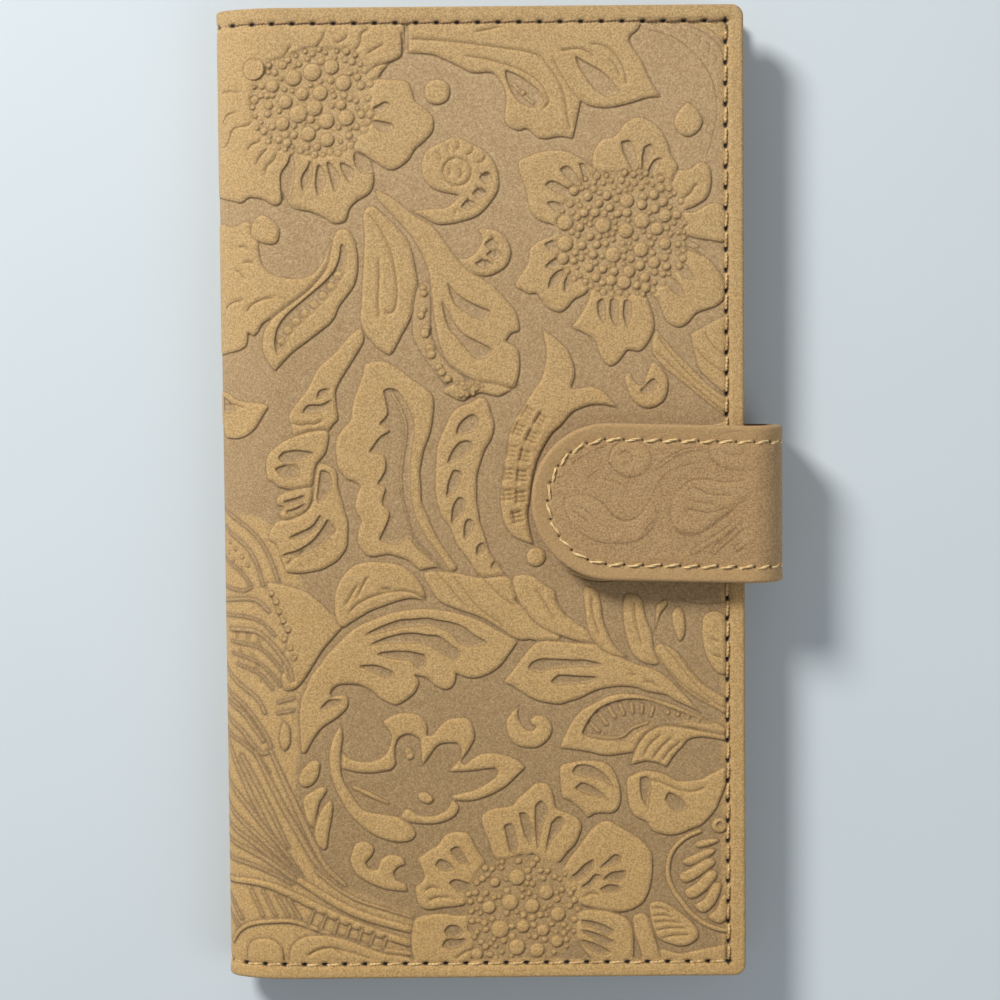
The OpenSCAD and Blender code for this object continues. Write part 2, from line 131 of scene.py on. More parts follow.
# The ornament on the front, mark by mark. form, sink, dip, wash and scatter have a closed curve; band, low
# and cut have an open one; domes and stamps have places. A row without a colon carries on the mark above it
PLAN = """
wash 0.9: 722,-6! 770,-6! 770,990! 722,990!
wash 0.9: 140,962! 770,962! 770,1000! 140,1000!
form: 180,-6! 405,-6! 404,40 401,55 388,64 378,78 372,95 371,150 374,178 370,192 358,200 350,208 345,221
333,223 325,218 312,212 292,207 283,192! 281,202 274,205 262,199 248,197 240,202 231,200 212,196! 180,196!
cut: 325,30 322,38 315,46 300,48
cut: 347,32 345,38 335,43
cut: 370,28 362,32 360,42 355,50
cut: 384,43 375,48 367,53
cut: 371,72 374,66 384,63 400,57 402,50 401,30
cut: 292,44 288,49 283,57 270,60
cut: 216,91 225,89 240,91
cut: 217,122 225,113 236,110
cut: 250,103 252,118 247,124 232,127 226,140 221,146
cut: 263,134 258,141 250,144 246,151
cut: 268,147 260,155 254,165
cut: 277,152 273,160 266,166 265,175
sink: 292,152 288,163 281,175 282,198! 290,198! 294,175
sink: 311,160 308,167 302,178 303,192! 311,180
sink: 319,165 316,182 318,195! 325,180
sink: 328,162 331,178 335,191! 339,176
sink: 341,163 345,175 350,183! 353,170
form: 366,82! 378,78 405,80 412,90 415,100 425,108 433,117 433,130 425,140 415,149 408,160 395,169 385,168
370,158 354,149 360,130 368,110
sink: 370,109! 377,106 384,102 389,103! 385,109 376,113
sink: 372,120! 380,121 392,124 393,129! 385,131 376,127
sink: 355,150! 368,158 373,172! 362,172 355,162
dip: 258,75 275,60 300,50 330,47 355,52 368,66 370,90 370,120 362,136 345,150 315,158 290,152 270,145
255,130 250,110 252,90
domes 1.1: 253,68,11 272,85,6.5 293,77,8 312,71,9 331,66,7.5 343,82,8 320,92,7.5 302,93,6.5 285,101,7
298,113,9 314,107,8 326,120,8 346,117,8 282,123,7 308,133,7.5 327,139,7 341,104,5 287,142,4.5
scatter 2.2 4.4 90 5: 258,75 275,60 300,50 330,47 355,52 368,66 370,90 370,120 362,136 345,150 315,158
290,152 270,145 255,130 250,110 252,90
form: 437,78 447,82 450,91 447,100 437,104 427,100 424,91 427,82
form: 440,142 455,136 470,142 485,150 495,163 499,178 498,190 490,203 478,215 462,221 445,224 435,223
420,215 409,211! 430,208 445,207 455,200 459,195 445,192 433,188 424,178 421,165 426,150
cut: 457,157 467,161 471,171 467,181 457,185 447,181 443,171 447,161 456,157
cut: 447,166 450,170 449,176
cut: 459,168 462,173 459,178
cut: 434,151 440,154 441,160
cut: 442,141 448,145 449,151
cut: 457,139 459,145 456,150
cut: 473,144 472,151 466,155
cut: 486,155 482,161 475,162
cut: 492,172 485,175 479,172
cut: 488,191 481,191 476,185
cut: 474,208 469,204 468,197
cut: 456,215 455,209
form: 408,-6! 648,-6! 640,25 630,36 632,45 642,60 650,78 661,96! 648,97 635,101 620,105 605,107 590,105
581,100! 577,120 573,138! 560,136 548,138 538,137 527,128 518,130 505,121 506,95 500,80 492,72 473,72 460,66
445,59 432,54 408,52!
cut: 410,38 445,40 495,46 535,53 548,65 557,78 563,90 566,105 568,118 571,130
cut: 475,31 490,28 505,24
cut: 560,50 580,48 596,56
wash 0.7: 650,-6! 770,-6! 770,60! 725,40 690,24 650,24!
cut 1.3 0.5: 645,28 660,31 675,37 690,48 703,62 713,82 717,108 713,133 706,157
cut 1.3 0.5: 680,22 700,29 715,40 724,55 727,75
cut: 700,22 715,32 724,45 727,60
cut: 680,27 686,31 685,38
cut: 693,32 700,37 699,44
cut: 704,39 710,45 708,52
cut: 712,51 717,57 714,64
form: 688,101! 697,108 703,120 698,131 688,136 678,131 674,120 680,108
form: 600,140 615,135 625,122 638,116 650,120 660,128 667,140 672,155 678,165 676,178 668,188 640,196
600,190 592,160
form: 518,163 530,155 545,150 565,150 580,157 592,166 600,176 592,200 574,222 560,227 552,224 540,220
530,210 526,190
form: 678,170 690,168 700,161 709,165 712,180 708,196 698,204 684,209 676,200 672,185
cut: 700,183 695,185 690,193 682,198 676,198
form: 684,213 695,211 705,205 713,202 722,204 728,215 727,240 710,240 690,236 682,230
form: 650,293 658,300 665,318 672,325 680,327 688,323 697,313 708,309 718,305 725,297 726,283 715,265
700,252 684,247 672,270 660,285
cut: 684,249 698,253 703,258
form: 515,285 520,275 528,262 530,248 540,240 555,235 575,235 592,260 588,290 575,299 567,308 560,312
550,309 542,300 536,293 530,294 522,290
form: 571,327! 580,331 590,336 596,342 598,350 603,360 610,366 617,363 624,355 628,350 640,351 648,343
654,330 654,318 650,305 645,296 620,290 600,285 591,288 588,300 580,315
cut: 465,55 480,57 500,62 515,67 530,74 540,82 546,92 549,101 543,108
sink: 506,70! 518,75 530,83 540,92 543,101! 536,106 526,104 517,98 511,88 507,78
band 2: 514,84 524,95 533,102
domes 0.8: 523,92,3
cut: 553,58 562,74 571,89 581,99
cut: 590,43 601,44 612,50 620,60 625,72 627,84
sink: 576,56! 586,62 600,70 611,80 619,92! 607,95 596,89 587,78 580,67
cut: 608,58 616,66 621,76
sink: 622,142! 630,141 634,150 636,160 633,170! 628,160 624,152
sink: 645,147! 651,144 653,151 649,160 643,169! 643,157
sink: 661,158! 659,164 655,172 649,179! 650,168 655,160
sink: 546,184! 552,181 562,185 575,193! 568,196 557,192
sink: 561,169! 567,166 574,172 584,185! 576,184 567,177
sink: 548,202! 556,202 566,207 575,214! 564,213 554,209
sink: 580,163! 586,165 590,174 593,186! 586,179 582,171
sink: 545,244! 554,240 564,241 573,245! 562,249 552,250
sink: 546,266! 553,260 561,257 570,255! 562,263 553,269
sink: 549,287! 551,279 557,272 564,269! 560,279 555,286
sink: 565,291! 565,283 568,276 573,273! 572,282 569,290
sink: 598,303! 603,299 605,310 604,323! 599,314
sink: 611,300! 617,299 618,312 616,327! 611,315
sink: 625,301! 630,300 631,313 627,326! 624,314
sink: 671,239! 682,237 692,241 700,246! 690,248 680,244
sink: 671,255! 680,260 688,267 695,279! 685,277 676,269
sink: 663,271! 672,277 680,285 685,297! 676,293 667,283
dip: 575,187 598,173 640,171 668,180 683,205 685,240 680,270 655,290 625,297 595,290 570,276 556,245 560,210
domes 1.1: 574,190,5 588,196,4.5 607,195,4.5 627,200,7 643,197,4.5 654,194,5 642,204,5 610,207,4 599,203,4
584,212,4.5 595,212,4.5 618,213,4 627,212,4.5 642,220,8 655,208,4.5 663,201,5 665,215,6.5 677,214,4.5
657,228,6.5 565,222,8 603,225,8 626,230,7.5 580,227,4 590,236,4 565,243,8 582,245,4.5 597,244,4 613,254,8
641,249,7.5 665,243,6 593,254,4.5 563,258,6 654,262,6 683,258,4 667,266,4 589,267,4.5 603,269,4 614,271,4.5
629,271,6 640,265,5 645,277,5 596,277,4.5 611,280,5.5 624,282,7 637,285,4 646,287,5
scatter 2.2 3.8 120 8: 575,187 598,173 640,171 668,180 683,205 685,240 680,270 655,290 625,297 595,290
570,276 556,245 560,210
form: 478,229 490,228 503,234 510,245 511,255 507,265 498,272 485,276 468,271 455,264 446,258 440,244!
452,255 465,258 475,252 482,240 481,234
cut: 489,248 495,251 494,257
cut: 479,258 485,261 485,267
cut: 490,236 496,239
form: 375,188! 392,197 406,208 420,218 433,226 444,240 456,257 468,270 482,278 495,287 505,298 515,310
519,322 519,331 512,333 506,341! 517,348 520,360 519,375 515,388! 490,384 472,379 458,371 447,361 440,345
436,330 432,300 428,270 420,250 408,232 392,214 378,199
sink: 448,283! 455,292 467,301 480,307 490,311! 484,320 470,314 455,303
sink: 442,302! 448,312 455,325 465,335 478,342 492,349! 488,356 478,359 468,350 458,338 448,325
form: 363,213 372,205 385,215 400,230 410,245 415,265 418,285 416,300 410,320 402,335 393,352 389,355!
380,350 372,342 365,333 360,320 361,300 364,240
cut: 368,213 378,225 386,240 393,260 397,290 395,308 390,313 385,311
cut: 378,258 379,275 378,300 379,318
form 0.5: 417,288 430,285 431,330 438,350 450,366 466,380 450,388 432,368 420,351 412,330
domes 0.9: 423,288,3.4 424,293,3.4 423,309,3.8 421,315,3.8 426,329,4.6 425,333,4.6 430,349,5 431,354,4.6
439,367,3.8 442,372,3.8 448,379,4 451,385,3.6 459,390,3.4
form: 180,225! 215,222 232,226 246,220 256,235 258,250 262,265 275,275 295,278 310,275 322,262 328,245
337,233! 348,250 335,275 310,295 285,312 264,322 257,332 252,336 247,333 245,345 235,351 212,355! 180,355!
cut: 233,269 239,273 245,280
cut: 222,310 228,303 243,299
cut: 245,313 250,305 262,299 275,297
cut: 236,247 242,246 248,250
cut: 241,263 247,261 254,264
form: 262,214 272,220 279,228 278,240 272,244 260,242 250,234 252,221
cut: 254,223 259,222
form: 335,232 345,228 351,233 356,245 358,262 356,280 350,292 340,305 333,320 322,330 305,343 292,353
275,371! 268,363 262,350 263,332 272,318 290,304 310,288 326,268 331,248
sink 0.05: 342,244 346,256 343,270 336,286 326,298 314,310 300,323 290,334 283,347 277,354! 275,342 278,328
286,316 298,305 312,293 326,281 336,268 340,256
domes 0.7: 338,275,4.5 331,286,4.5 323,295,4.5 314,304,4.5 305,313,4.5 296,321,4.5 288,330,4.5 281,341,4
form: 361,328 364,340 358,352 350,365 342,378 336,390 336,402 338,419 333,425 327,435 322,453 308,452
295,440 290,423 288,416 291,410 297,402 308,387 318,368 335,352 350,335
sink: 317,398! 320,391 328,389! 325,396
sink: 303,413! 308,406 322,405 331,400! 323,411
cut: 292,423 300,425 308,424 315,424 323,420
form: 543,330 549,333 557,339 568,350 574,365 575,376 572,388 584,387 592,386 602,390 612,400 618,408!
605,405 592,405 582,408 572,413 562,425 553,433 547,442 540,455 535,470 532,485 530,500 528,515 530,530
534,545! 522,541 512,535 505,525 501,510 500,495 502,480 505,460 507,445 512,425 522,408 530,395 540,380
545,365 546,350
sink: 485,244! 492,239 498,245! 491,249
sink: 487,254! 496,249 501,254! 494,259
sink: 476,263! 485,260 493,264! 484,268
sink: 462,206! 468,200 475,203! 468,209
sink: 473,193! 480,188 487,193! 479,198
sink: 480,177! 487,172 492,179! 486,183
form: 180,392! 220,392 236,400 248,402 262,403 268,407! 263,415 258,423 253,430 245,436 237,439 228,439
220,437 212,427! 180,420!
cut: 216,405 230,404 244,408
form: 265,462 267,455 275,447 285,440 298,435 312,431 328,432 326,452 316,466 312,486 305,489 293,490
285,489 278,487 272,482 266,478
sink: 279,458! 284,453 297,451 313,453! 310,457 298,461 286,464
sink: 276,469! 285,466 295,465! 299,471 296,479 282,476
form: 320,463 332,467 337,474 338,487 342,500 345,512 348,523 348,537 347,547 342,556 335,563 328,567
322,570 308,573 298,574 286,573! 281,560 276,545 268,540 270,530 276,522 284,519 298,515 306,511 312,503
313,495 314,487 315,477 317,468
sink: 321,471! 328,473 331,481 331,489 326,496 320,503 317,500! 319,485
cut: 322,482 329,483
cut: 320,492 328,493
sink: 276,503! 285,499 297,496! 303,500 297,506 283,511
sink: 290,538! 298,534 312,527 320,516! 322,522 315,531 302,538
sink: 280,557! 288,554 298,551 312,542 322,530 328,520! 332,530 324,543 312,552 295,557
cut: 287,566 290,561 298,555 305,550
cut: 331,525 336,530 331,536
form: 362,376 366,363 384,361 398,368 412,379 428,390 433,398 434,405 433,417 431,430 428,440 424,450
422,460 420,473 421,487 422,503 426,512 432,527 437,537 443,547 452,560 458,569! 447,574 437,568 420,571!
410,562 400,558 388,555 370,557 360,548 357,540 358,530 361,521 355,510 355,502 357,493 360,486 352,481
348,480 342,474 337,466 336,457 335,447 337,437 343,428 350,420 352,405 356,392
sink: 384,391! 390,389 400,394 410,412 414,428 412,445 410,462 410,487 412,505 417,521 425,536 436,551
447,567! 434,562 420,550 408,538 397,545 380,540! 390,515 383,503 386,488 378,484! 386,470 384,455 370,452!
380,438 390,431 380,424! 388,414 386,400
band 1.7 1.5 1.2 1: 392,393 402,412 406,428 405,443 403,455 401,473 401,487 403,500 408,520 413,535 423,548
437,563 447,573
form: 471,402 480,397 487,400 491,412 494,422 494,430 491,440 485,450 481,462 477,477 477,490 477,502
479,513 480,522 484,533 487,543 490,553 497,563 507,577! 482,578 475,570 467,558 457,545 450,528 442,517
437,503 435,488 435,473 436,460 437,447 442,433 447,422 452,412 460,406
sink: 457,434! 459,426 465,419 473,415 478,420 475,429 467,433
sink: 448,463! 452,453 456,447 462,442 470,442 472,448 463,457 455,461
sink: 447,497! 449,483 452,475 454,471 461,473 460,480 457,488 451,495
sink: 452,524! 453,510 456,502 460,498 465,502 463,513 456,521
sink: 465,539! 465,527 468,520 473,522 472,530
sink: 477,556! 478,547 483,544 484,551
sink: 491,568! 495,562 501,565
form: 443,391 452,384 465,381 480,382 497,384 510,388 517,387 519,384 500,396 480,393 464,401! 458,400
452,397
scatter 1.8 2.6 12 3: 446,384 480,382 478,392 462,396
form: 536,547 543,550 546,557 543,564 536,567 529,564 526,557 529,550
form: 278,496 290,491 303,488 312,487! 312,500 306,511 298,516 285,520 278,514 284,508 276,504
sink: 284,502! 292,500 304,496! 302,501 290,505
sink: 286,512! 296,509 305,504! 300,511 290,514
cut 1.2: 299,562 304,569
cut 1.2: 307,558 312,565
cut 1.2: 315,553 320,560
cut 1.2: 322,546 328,552
cut 1.2: 328,538 334,543
stamps: 528,413,32 541,420,32 519,430,24 532,437,24 512,451,12 525,456,12 509,474,4 522,476,4 508,495,-2
521,497,-2 518,517,-12
sink: 218,398! 226,402 234,410! 227,413 218,412!
form 0.7: 690,333! 704,326 716,319 728,314! 728,396! 714,384 700,370 694,352
cut: 696,347 707,360 725,373
cut: 704,331 714,346 726,356
form 0.9: 657,329! 664,338 677,353 692,368 710,386 728,398! 728,418! 712,406 694,391 676,377 663,366
652,352! 652,340
cut: 659,337 670,352 683,367 700,384 726,405
cut: 654,350 668,362 685,378 703,394 726,413
form: 624,377! 630,372 634,380 642,385 647,374 652,360! 662,368 668,379 668,391 664,401 655,407 645,408
635,402 628,391
sink: 641,391! 647,384 654,379 657,384! 654,390 647,394
stamps 2.6: 236,636,4 247,638,6 258,643,12 240,653,8 251,658,14 256,669,18 262,681,22
form: 730,420! 702,427 678,438 662,456 655,478 662,492 677,499 693,496 707,486 718,470 730,455!
cut: 667,476 680,459 701,447 726,440
cut: 673,488 690,474 708,462 724,452
form: 730,516! 708,518 690,524 672,536 659,552 652,570 670,574 692,567 712,556 730,547!
cut: 664,563 680,545 703,533 726,528
cut: 675,568 693,553 712,544 726,540
domes 0.9: 668,512,5 684,511,3.6 696,509,2.8
form: 578,440! 596,434 616,432 634,436 646,446! 632,450 614,448 596,448
form: 566,572! 586,580 606,582 626,578 640,568! 626,566 606,570 586,570
wash 0.75 8: 180,515! 262,520 300,580 330,615 352,625! 322,655 303,690 298,715 300,754! 296,780 306,840
340,884 413,914! 413,962! 180,962!
form: 266,584 280,584 295,588 308,593 318,601 325,607 331,614 340,618 350,624! 343,628 332,640 322,652
312,668 303,682 295,690 285,691 281,680 283,660 286,645 288,635 282,625 277,612 272,600
form: 301,754! 300,738 299,715 301,700 305,690 308,682 313,673 320,665 325,657 332,650 343,638 355,628
372,620 388,614 400,611 417,609 430,609 447,611 460,614 473,618 483,622 497,630 507,635 518,642! 513,650
507,658 502,665 495,671 488,675 480,678 472,679 463,677 456,674! 456,680 453,687 448,690 443,690 435,686
427,679 415,676! 419,682 416,692 410,698 403,703 395,706 387,703 380,699 375,694 367,689 360,686 352,685
345,685 338,686 332,691 331,697 340,695 347,697! 348,707 338,718 322,729 313,741 306,754!
low 1.8: 218,510 240,524 258,540 270,560 278,582
low 1.8: 218,528 242,545 254,562 262,586
low 1.6: 214,558 238,572 250,588
low 1.6: 216,588 240,592 250,588
low 2: 212,603 246,600 258,603 268,612
low 1.6: 214,617 244,618 262,624 274,636
low 2.2: 226,631 252,632 264,638 276,650 288,666 292,680
low 1.6: 228,643 256,648 270,658 282,672
low 1.6: 230,655 254,662 268,672 280,686
low 1.6: 236,666 260,676 272,690
low 2: 216,668 240,688 256,700 264,714
low 2: 214,690 236,702 250,716 262,732 270,748 262,755 250,745 238,731 214,716
low 2: 222,704 240,714 252,728 262,742
low 1.8: 214,731 242,746 256,758 268,774
low 1.8: 278,703 293,699
form: 346,572 355,565 365,562 380,562 400,565 414,575 424,590 426,601! 413,599 405,600 397,602 388,605
380,608 372,611 363,616 350,624 343,628 336,620 334,600 338,584
cut: 380,589 392,589
cut: 368,577 362,587 358,597
form: 424,573 447,572 462,574 482,578 508,577 516,592 517,603 535,612 545,627 560,634 555,645 530,640!
523,641 513,638 505,632 495,626 483,619 470,614 455,609 440,602 431,590
cut: 435,570 443,580 452,590 460,600 470,609
cut: 452,575 463,588 473,602 483,612 495,620 505,628
cut: 477,572 487,583 497,593 507,601 517,607
form: 513,578 530,575 545,585 555,592 560,606 572,620 592,633 602,643 591,644 575,641 560,636 548,631
540,626 533,620 526,611 518,600
cut: 535,589 542,598 548,608 555,620
cut: 555,590 557,602 563,613 570,619
sink: 366,635! 378,629 385,626 400,621 413,620 427,619 438,621 450,623 460,626 467,630 473,635 487,643!
474,647 460,643 450,633 430,626 400,628 380,633
sink: 371,645! 385,639 400,635 413,634 427,636 438,637 445,641 459,652! 459,658 455,661 449,658 440,652
425,645 400,643
sink: 378,655! 385,653 400,652 412,653 425,656! 426,663 422,669 417,668 410,661 395,659
sink: 360,667! 372,666 382,668 393,673! 393,678 384,677 372,672
form: 503,683! 508,676 513,670 522,658 530,648 538,642 550,641 563,642 575,643 600,645 615,652 630,662
650,668 665,676 680,690 702,714! 688,707 677,702 667,696 657,694 647,692 635,688 623,687 610,688 600,690
590,694 580,699 570,702 560,705 550,704 540,702 530,698 522,693 513,687
sink: 529,668! 533,663 542,660 552,660 575,661 585,661 602,665! 590,667 575,667 552,669 538,673
sink: 552,682! 557,677 562,676 577,677 598,678! 588,683 570,684 558,685
cut: 630,674 638,676
cut: 644,682 652,683 661,689
cut: 592,633 600,642 610,650 620,656 630,662 642,666
cut: 710,639 717,645
cut: 711,657 724,660
form: 560,749! 562,741 565,735 570,725 577,715 587,707 597,702 607,697 618,694 632,694 647,697 668,703
690,712 727,728! 727,740! 710,736 698,730 687,728 673,727 660,730 650,737 643,744 637,752 628,754 613,756
602,756 590,753 570,750
low 1.8: 278,714 293,711
domes 0.7: 271,594,3 276,602,3.2 279,612,3 283,621,3.2 288,630,3.2 284,640,3 290,648,3.2 294,658,3
226,543,2.2 233,550,2.2 240,558,2.2 224,554,2 231,561,2 238,569,2 246,566,2.2
form 0.8: 284,722 290,730 290,745 284,752 279,742 280,730
sink: 321,709! 330,701 342,701! 333,707
domes 0.9: 409,754,5.2
form: 519,706! 511,713 506,722 508,736 514,744 523,748 538,748 550,738 552,726 545,717 536,716 530,720
531,725 536,727! 533,731 526,730 520,722 518,713
form: 584,588 596,590 601,603 603,618 609,636 618,650 628,658 612,655 600,648 589,633 585,609
cut: 592,596 593,615 600,636
form 0.8: 624,596 634,594 642,600 646,618 652,633 654,648 660,664 646,664 634,656 627,640 623,618
cut: 634,602 636,622 642,645
form: 656,606! 664,600 668,604 660,616 655,632
form: 673,611 680,607 685,618 685,635 680,642 675,632 672,620
form: 704,616 716,611 727,616! 727,676! 716,672 706,655 702,636
cut: 711,639 720,643
cut: 713,655 723,659
cut: 676,595 688,602 705,604 727,603
form: 655,648 664,644 680,655 690,668 704,684 727,699! 727,716! 714,708 697,699 680,686 668,672 658,660
cut: 663,645 676,660 693,682 714,702 727,709
cut: 679,655 685,665 702,684 724,698
cut: 657,655 670,672 690,690 712,704
sink: 583,734! 588,723 599,710 617,702 635,700 652,702 668,708! 690,716 712,724! 690,722 676,724 652,726
635,733 626,741 605,740 590,737
band 2: 591,724 599,732
band 2: 599,714 607,725
band 2: 609,708 615,718
band 2: 620,705 624,715
band 2: 631,704 633,713
band 2: 642,705 642,713
band 2: 653,708 651,716
band 1.8: 588,735 605,738 622,737 632,729 648,723
domes 0.7: 668,713,2.4 678,715,2.4 688,718,2.4 698,721,2.4
form: 630,766! 634,754 640,742 649,732 661,727 676,727 699,731 727,736! 727,742! 705,738 690,740 683,747
674,757 667,768! 658,764 646,762 638,764
cut: 643,757 650,745 661,735
cut: 653,759 661,748 672,738
cut: 662,762 669,752 681,742
cut: 349,613 358,604 372,597 390,592 410,592 428,600
cut: 345,606 352,594 358,584
form: 382,722! 394,715 407,713 420,716 427,726 427,736! 433,735 440,726 450,719 465,718! 471,722 475,737
470,749 461,762! 465,765 471,760 482,754 498,754 515,759 526,768! 518,776 505,788 488,797 470,802 452,801!
451,796! 460,794 475,790 490,782 498,774 495,769! 485,770 470,772 447,773! 459,760 461,750 457,744! 445,744
437,747 431,755 422,767! 421,755 420,740! 410,735 400,738 396,745 395,755 396,765 391,771! 372,774 355,773
341,769! 342,752! 350,759 362,762 375,761 385,755 390,745 391,735 386,728
domes 0.8: 408,752,3.8 410,757,3.8
form: 400,818! 407,809 420,816 435,816 447,810 452,800! 459,807 455,817 440,824 422,825 405,822
low 2.2 2.6 1.6: 220,742 236,770 252,802 270,834 286,858
low 2.2 2.6 1.6: 240,758 256,786 270,812 288,848
low 2 3 3 2.4: 254,754 270,784 284,810 297,832 316,864 336,884
low 2 3 3 2.4: 270,752 284,782 298,812 312,842 326,868 345,886
low 2 2.4 1.6: 214,776 240,802 264,830 284,852 300,874
low 2 2.4 1.6: 212,800 240,824 264,844 284,862 302,878
low 2 2.4 1.6: 212,822 244,840 270,858 298,878
low 2 2.6 2: 212,840 246,852 270,864 300,884 318,893
low 2 2 1.6: 212,860 246,866 272,875 292,885
band 1.8 2 1.6: 316,872 338,890 360,902 385,910 414,919
band 3.5 4.5 4: 300,882 322,896 345,909 372,920 412,931
band 3 4 4.5 4: 212,884 248,884 272,888 298,899 324,912 355,926 383,936 412,945
band 2.6: 228,946 240,932 256,925 285,922 302,925 324,933 350,942 383,951 412,955
band 1.7: 250,893 262,918
band 1.7: 262,893 275,917
band 1.7: 275,895 288,917
band 1.7: 288,900 300,920
band 1.6: 314,912 309,925
band 1.6: 326,917 321,930
band 1.6: 338,922 334,935
band 1.6: 350,927 346,939
band 1.6: 362,931 358,943
band 1.6: 374,935 370,946
band 1.6: 386,939 383,949
low 2: 216,898 228,906 240,922
low 2: 214,915 224,920 236,930
form: 290,951 299,940 316,936 336,938 353,943 383,954 410,959 410,968! 290,968!
cut: 307,957 318,951 332,949 350,953 372,960
form: 341,724! 333,738 329,754 330,771 334,786 342,803 352,818 372,835 394,843 410,842 416,835 411,826
402,820 397,817 377,814 363,810 352,796 342,777 341,754 343,738
band 2.2 2.6 1.6: 354,788 371,796 388,804
form: 365,842 356,844 352,852 350,862 353,870 358,877 371,885 388,891 408,893! 406,885! 397,881 394,874
399,868 406,866! 402,858 391,855 381,860 377,870 370,870 366,864 372,857 374,848
form: 298,780 304,768 312,761 319,762 320,768 318,778 312,786 303,788
form: 303,800 312,792 322,787 327,790 325,796 320,803 317,815 314,829 306,820
form: 314,834 318,817 325,805 330,801 333,806 332,818 329,834 326,851 318,846
form: 417,797 420,793 425,792 431,796 434,800 430,805 424,804 419,801
form: 246,953 250,944 260,940 272,941 282,950 284,966! 246,966!
cut: 307,957 318,951 332,949 343,956
form: 417,860! 427,852 437,846 443,838 450,833 459,832 468,834 473,842 478,852 484,860 486,867 483,873
478,875 476,881 477,888 475,896 470,902 464,906 455,908 443,909 432,911 424,910 418,905 416,897 415,888
421,883 424,876
sink: 451,851! 457,848 462,853 469,866! 460,863 454,857
sink: 436,866! 440,861 447,863 454,869! 448,872 441,870
sink: 450,884! 455,881 464,883 476,888! 467,893 457,891
cut: 424,892 432,888 440,890
cut: 428,902 438,898 450,899
form: 413,926 416,919 424,916 442,914 455,916 467,916 471,920 468,930 474,938 473,950 470,966! 415,966!
411,945
sink: 445,932! 450,927 458,928 463,933! 457,938 448,937
sink: 443,947! 447,941 458,941 466,940! 463,946 455,949 448,949
cut: 455,960 465,953 473,950
form: 482,824 482,816 490,810 500,808 512,806 518,799 527,791 535,784 543,783 550,787 554,798 556,808
563,812 571,815 579,820 582,828 579,838 575,846 568,853 562,861 557,865 550,866 543,864 538,859 533,855
527,857 521,856 510,860 500,861 495,859 491,850 488,840 484,832
sink: 505,827! 511,825 515,833 517,843 516,854! 511,852 508,842
sink: 520,814! 526,815 530,823 533,833 530,844! 525,835
sink: 536,807! 541,802 546,807 547,815 542,827 538,848! 536,828
sink: 552,824! 559,818 564,822 558,833 552,840 546,853! 549,838
form: 560,767 570,763 582,761 593,761 605,763 613,770 618,780 621,792 621,802 618,810 612,814 603,814
595,815 588,819! 582,811 577,807 571,802 563,799 561,791 560,780
sink: 573,773! 577,767 587,766 597,770 606,777 613,787! 603,781 593,778 583,777
sink: 576,789! 582,784 591,787 599,792 608,800! 598,797 588,795
form: 627,780 633,775 640,772 650,771 660,773 670,777 678,781 690,781 702,779 713,773 727,766! 727,785!
721,799 717,809 710,818 702,826 692,830 683,834 675,836 667,836 658,834 651,830 647,823 638,819 633,815
629,806 627,793
sink: 641,779! 647,778 650,784 650,792 648,808! 643,800 641,788
sink: 666,800! 669,794 677,797 684,803 687,809! 677,812 671,807
cut: 650,780 664,784 678,790 692,792 706,788
form: 720,818 726,820 729,826 726,832 720,834 714,832 711,826 714,820
sink: 720,823 723,826 720,829 717,826
form: 560,878 564,868 570,858 578,848 585,838 592,829 600,823 608,821 616,825 628,832 638,838 646,845
652,854 653,867 652,881 649,893 644,903 636,909 625,913 612,913 600,911 588,908 582,906 572,898 564,888
sink: 565,881! 577,874 585,866 593,861! 593,868 585,876 575,882
sink: 601,868! 608,862 615,856 621,858! 619,863 612,866
sink: 582,888! 590,882 595,876 601,877! 594,883 588,889
sink: 604,880! 612,874 625,872! 624,880 615,882
sink: 601,890! 610,886 620,888! 618,892 608,893
cut: 584,897 592,894 600,896
form: 577,917 583,911 602,911 618,915 628,920 633,930 634,942 634,966! 600,966! 590,958 580,945 576,930
sink: 579,921! 593,923 605,927 614,932! 607,936 598,930 586,926
sink: 581,931! 597,935 615,943! 607,946 596,941
sink: 581,941! 595,945 611,953! 602,955 590,950
form: 633,918 640,914 646,915 651,923 654,935 658,947 664,966! 644,966! 640,950 635,935
form: 650,904 660,902 670,906 680,913 690,921 697,929 699,937 696,942 687,947 677,947 667,944 658,939
653,928 650,916
cut: 652,909 662,909 672,914
cut: 652,917 664,916 675,918
cut: 653,924 666,922 682,924
cut: 656,932 668,929 687,929
cut: 662,939 676,936 690,936
form: 660,950 680,954 700,950 727,945! 727,966! 664,966!
band 2.6: 700,832 688,837 678,845 671,855 668,867 669,880 674,892 682,903 690,913 702,923 715,929 728,932
form: 694,845 704,840 716,839 720,842 712,846 700,849
form: 682,862 694,855 710,849 716,852 706,860 690,867
form: 679,876 692,868 708,859 716,864 702,876 686,884
form: 684,892 696,884 710,871 718,876 706,892 692,900
form: 694,906 704,900 714,884 722,886 716,904 704,914
form: 708,918 716,910 722,896 729,898 728,918 720,925
dip: 478,872 500,862 530,858 555,864 572,880 578,905 578,930 570,950 540,962 500,962 478,952 470,925 468,895
domes 1.1: 517,878,8.3 495,883,5 546,893,7.5 510,903,8.3 532,907,7.5 489,908,6.7 558,915,7.5 500,930,9
523,927,6.7 543,931,6.3 557,942,6.3 517,948,8.3 537,951,7.5 477,955,6
scatter 2.3 3.7 90 21: 478,872 500,862 530,858 555,864 572,880 578,905 578,930 570,950 540,962 500,962
478,952 470,925 468,895
"""

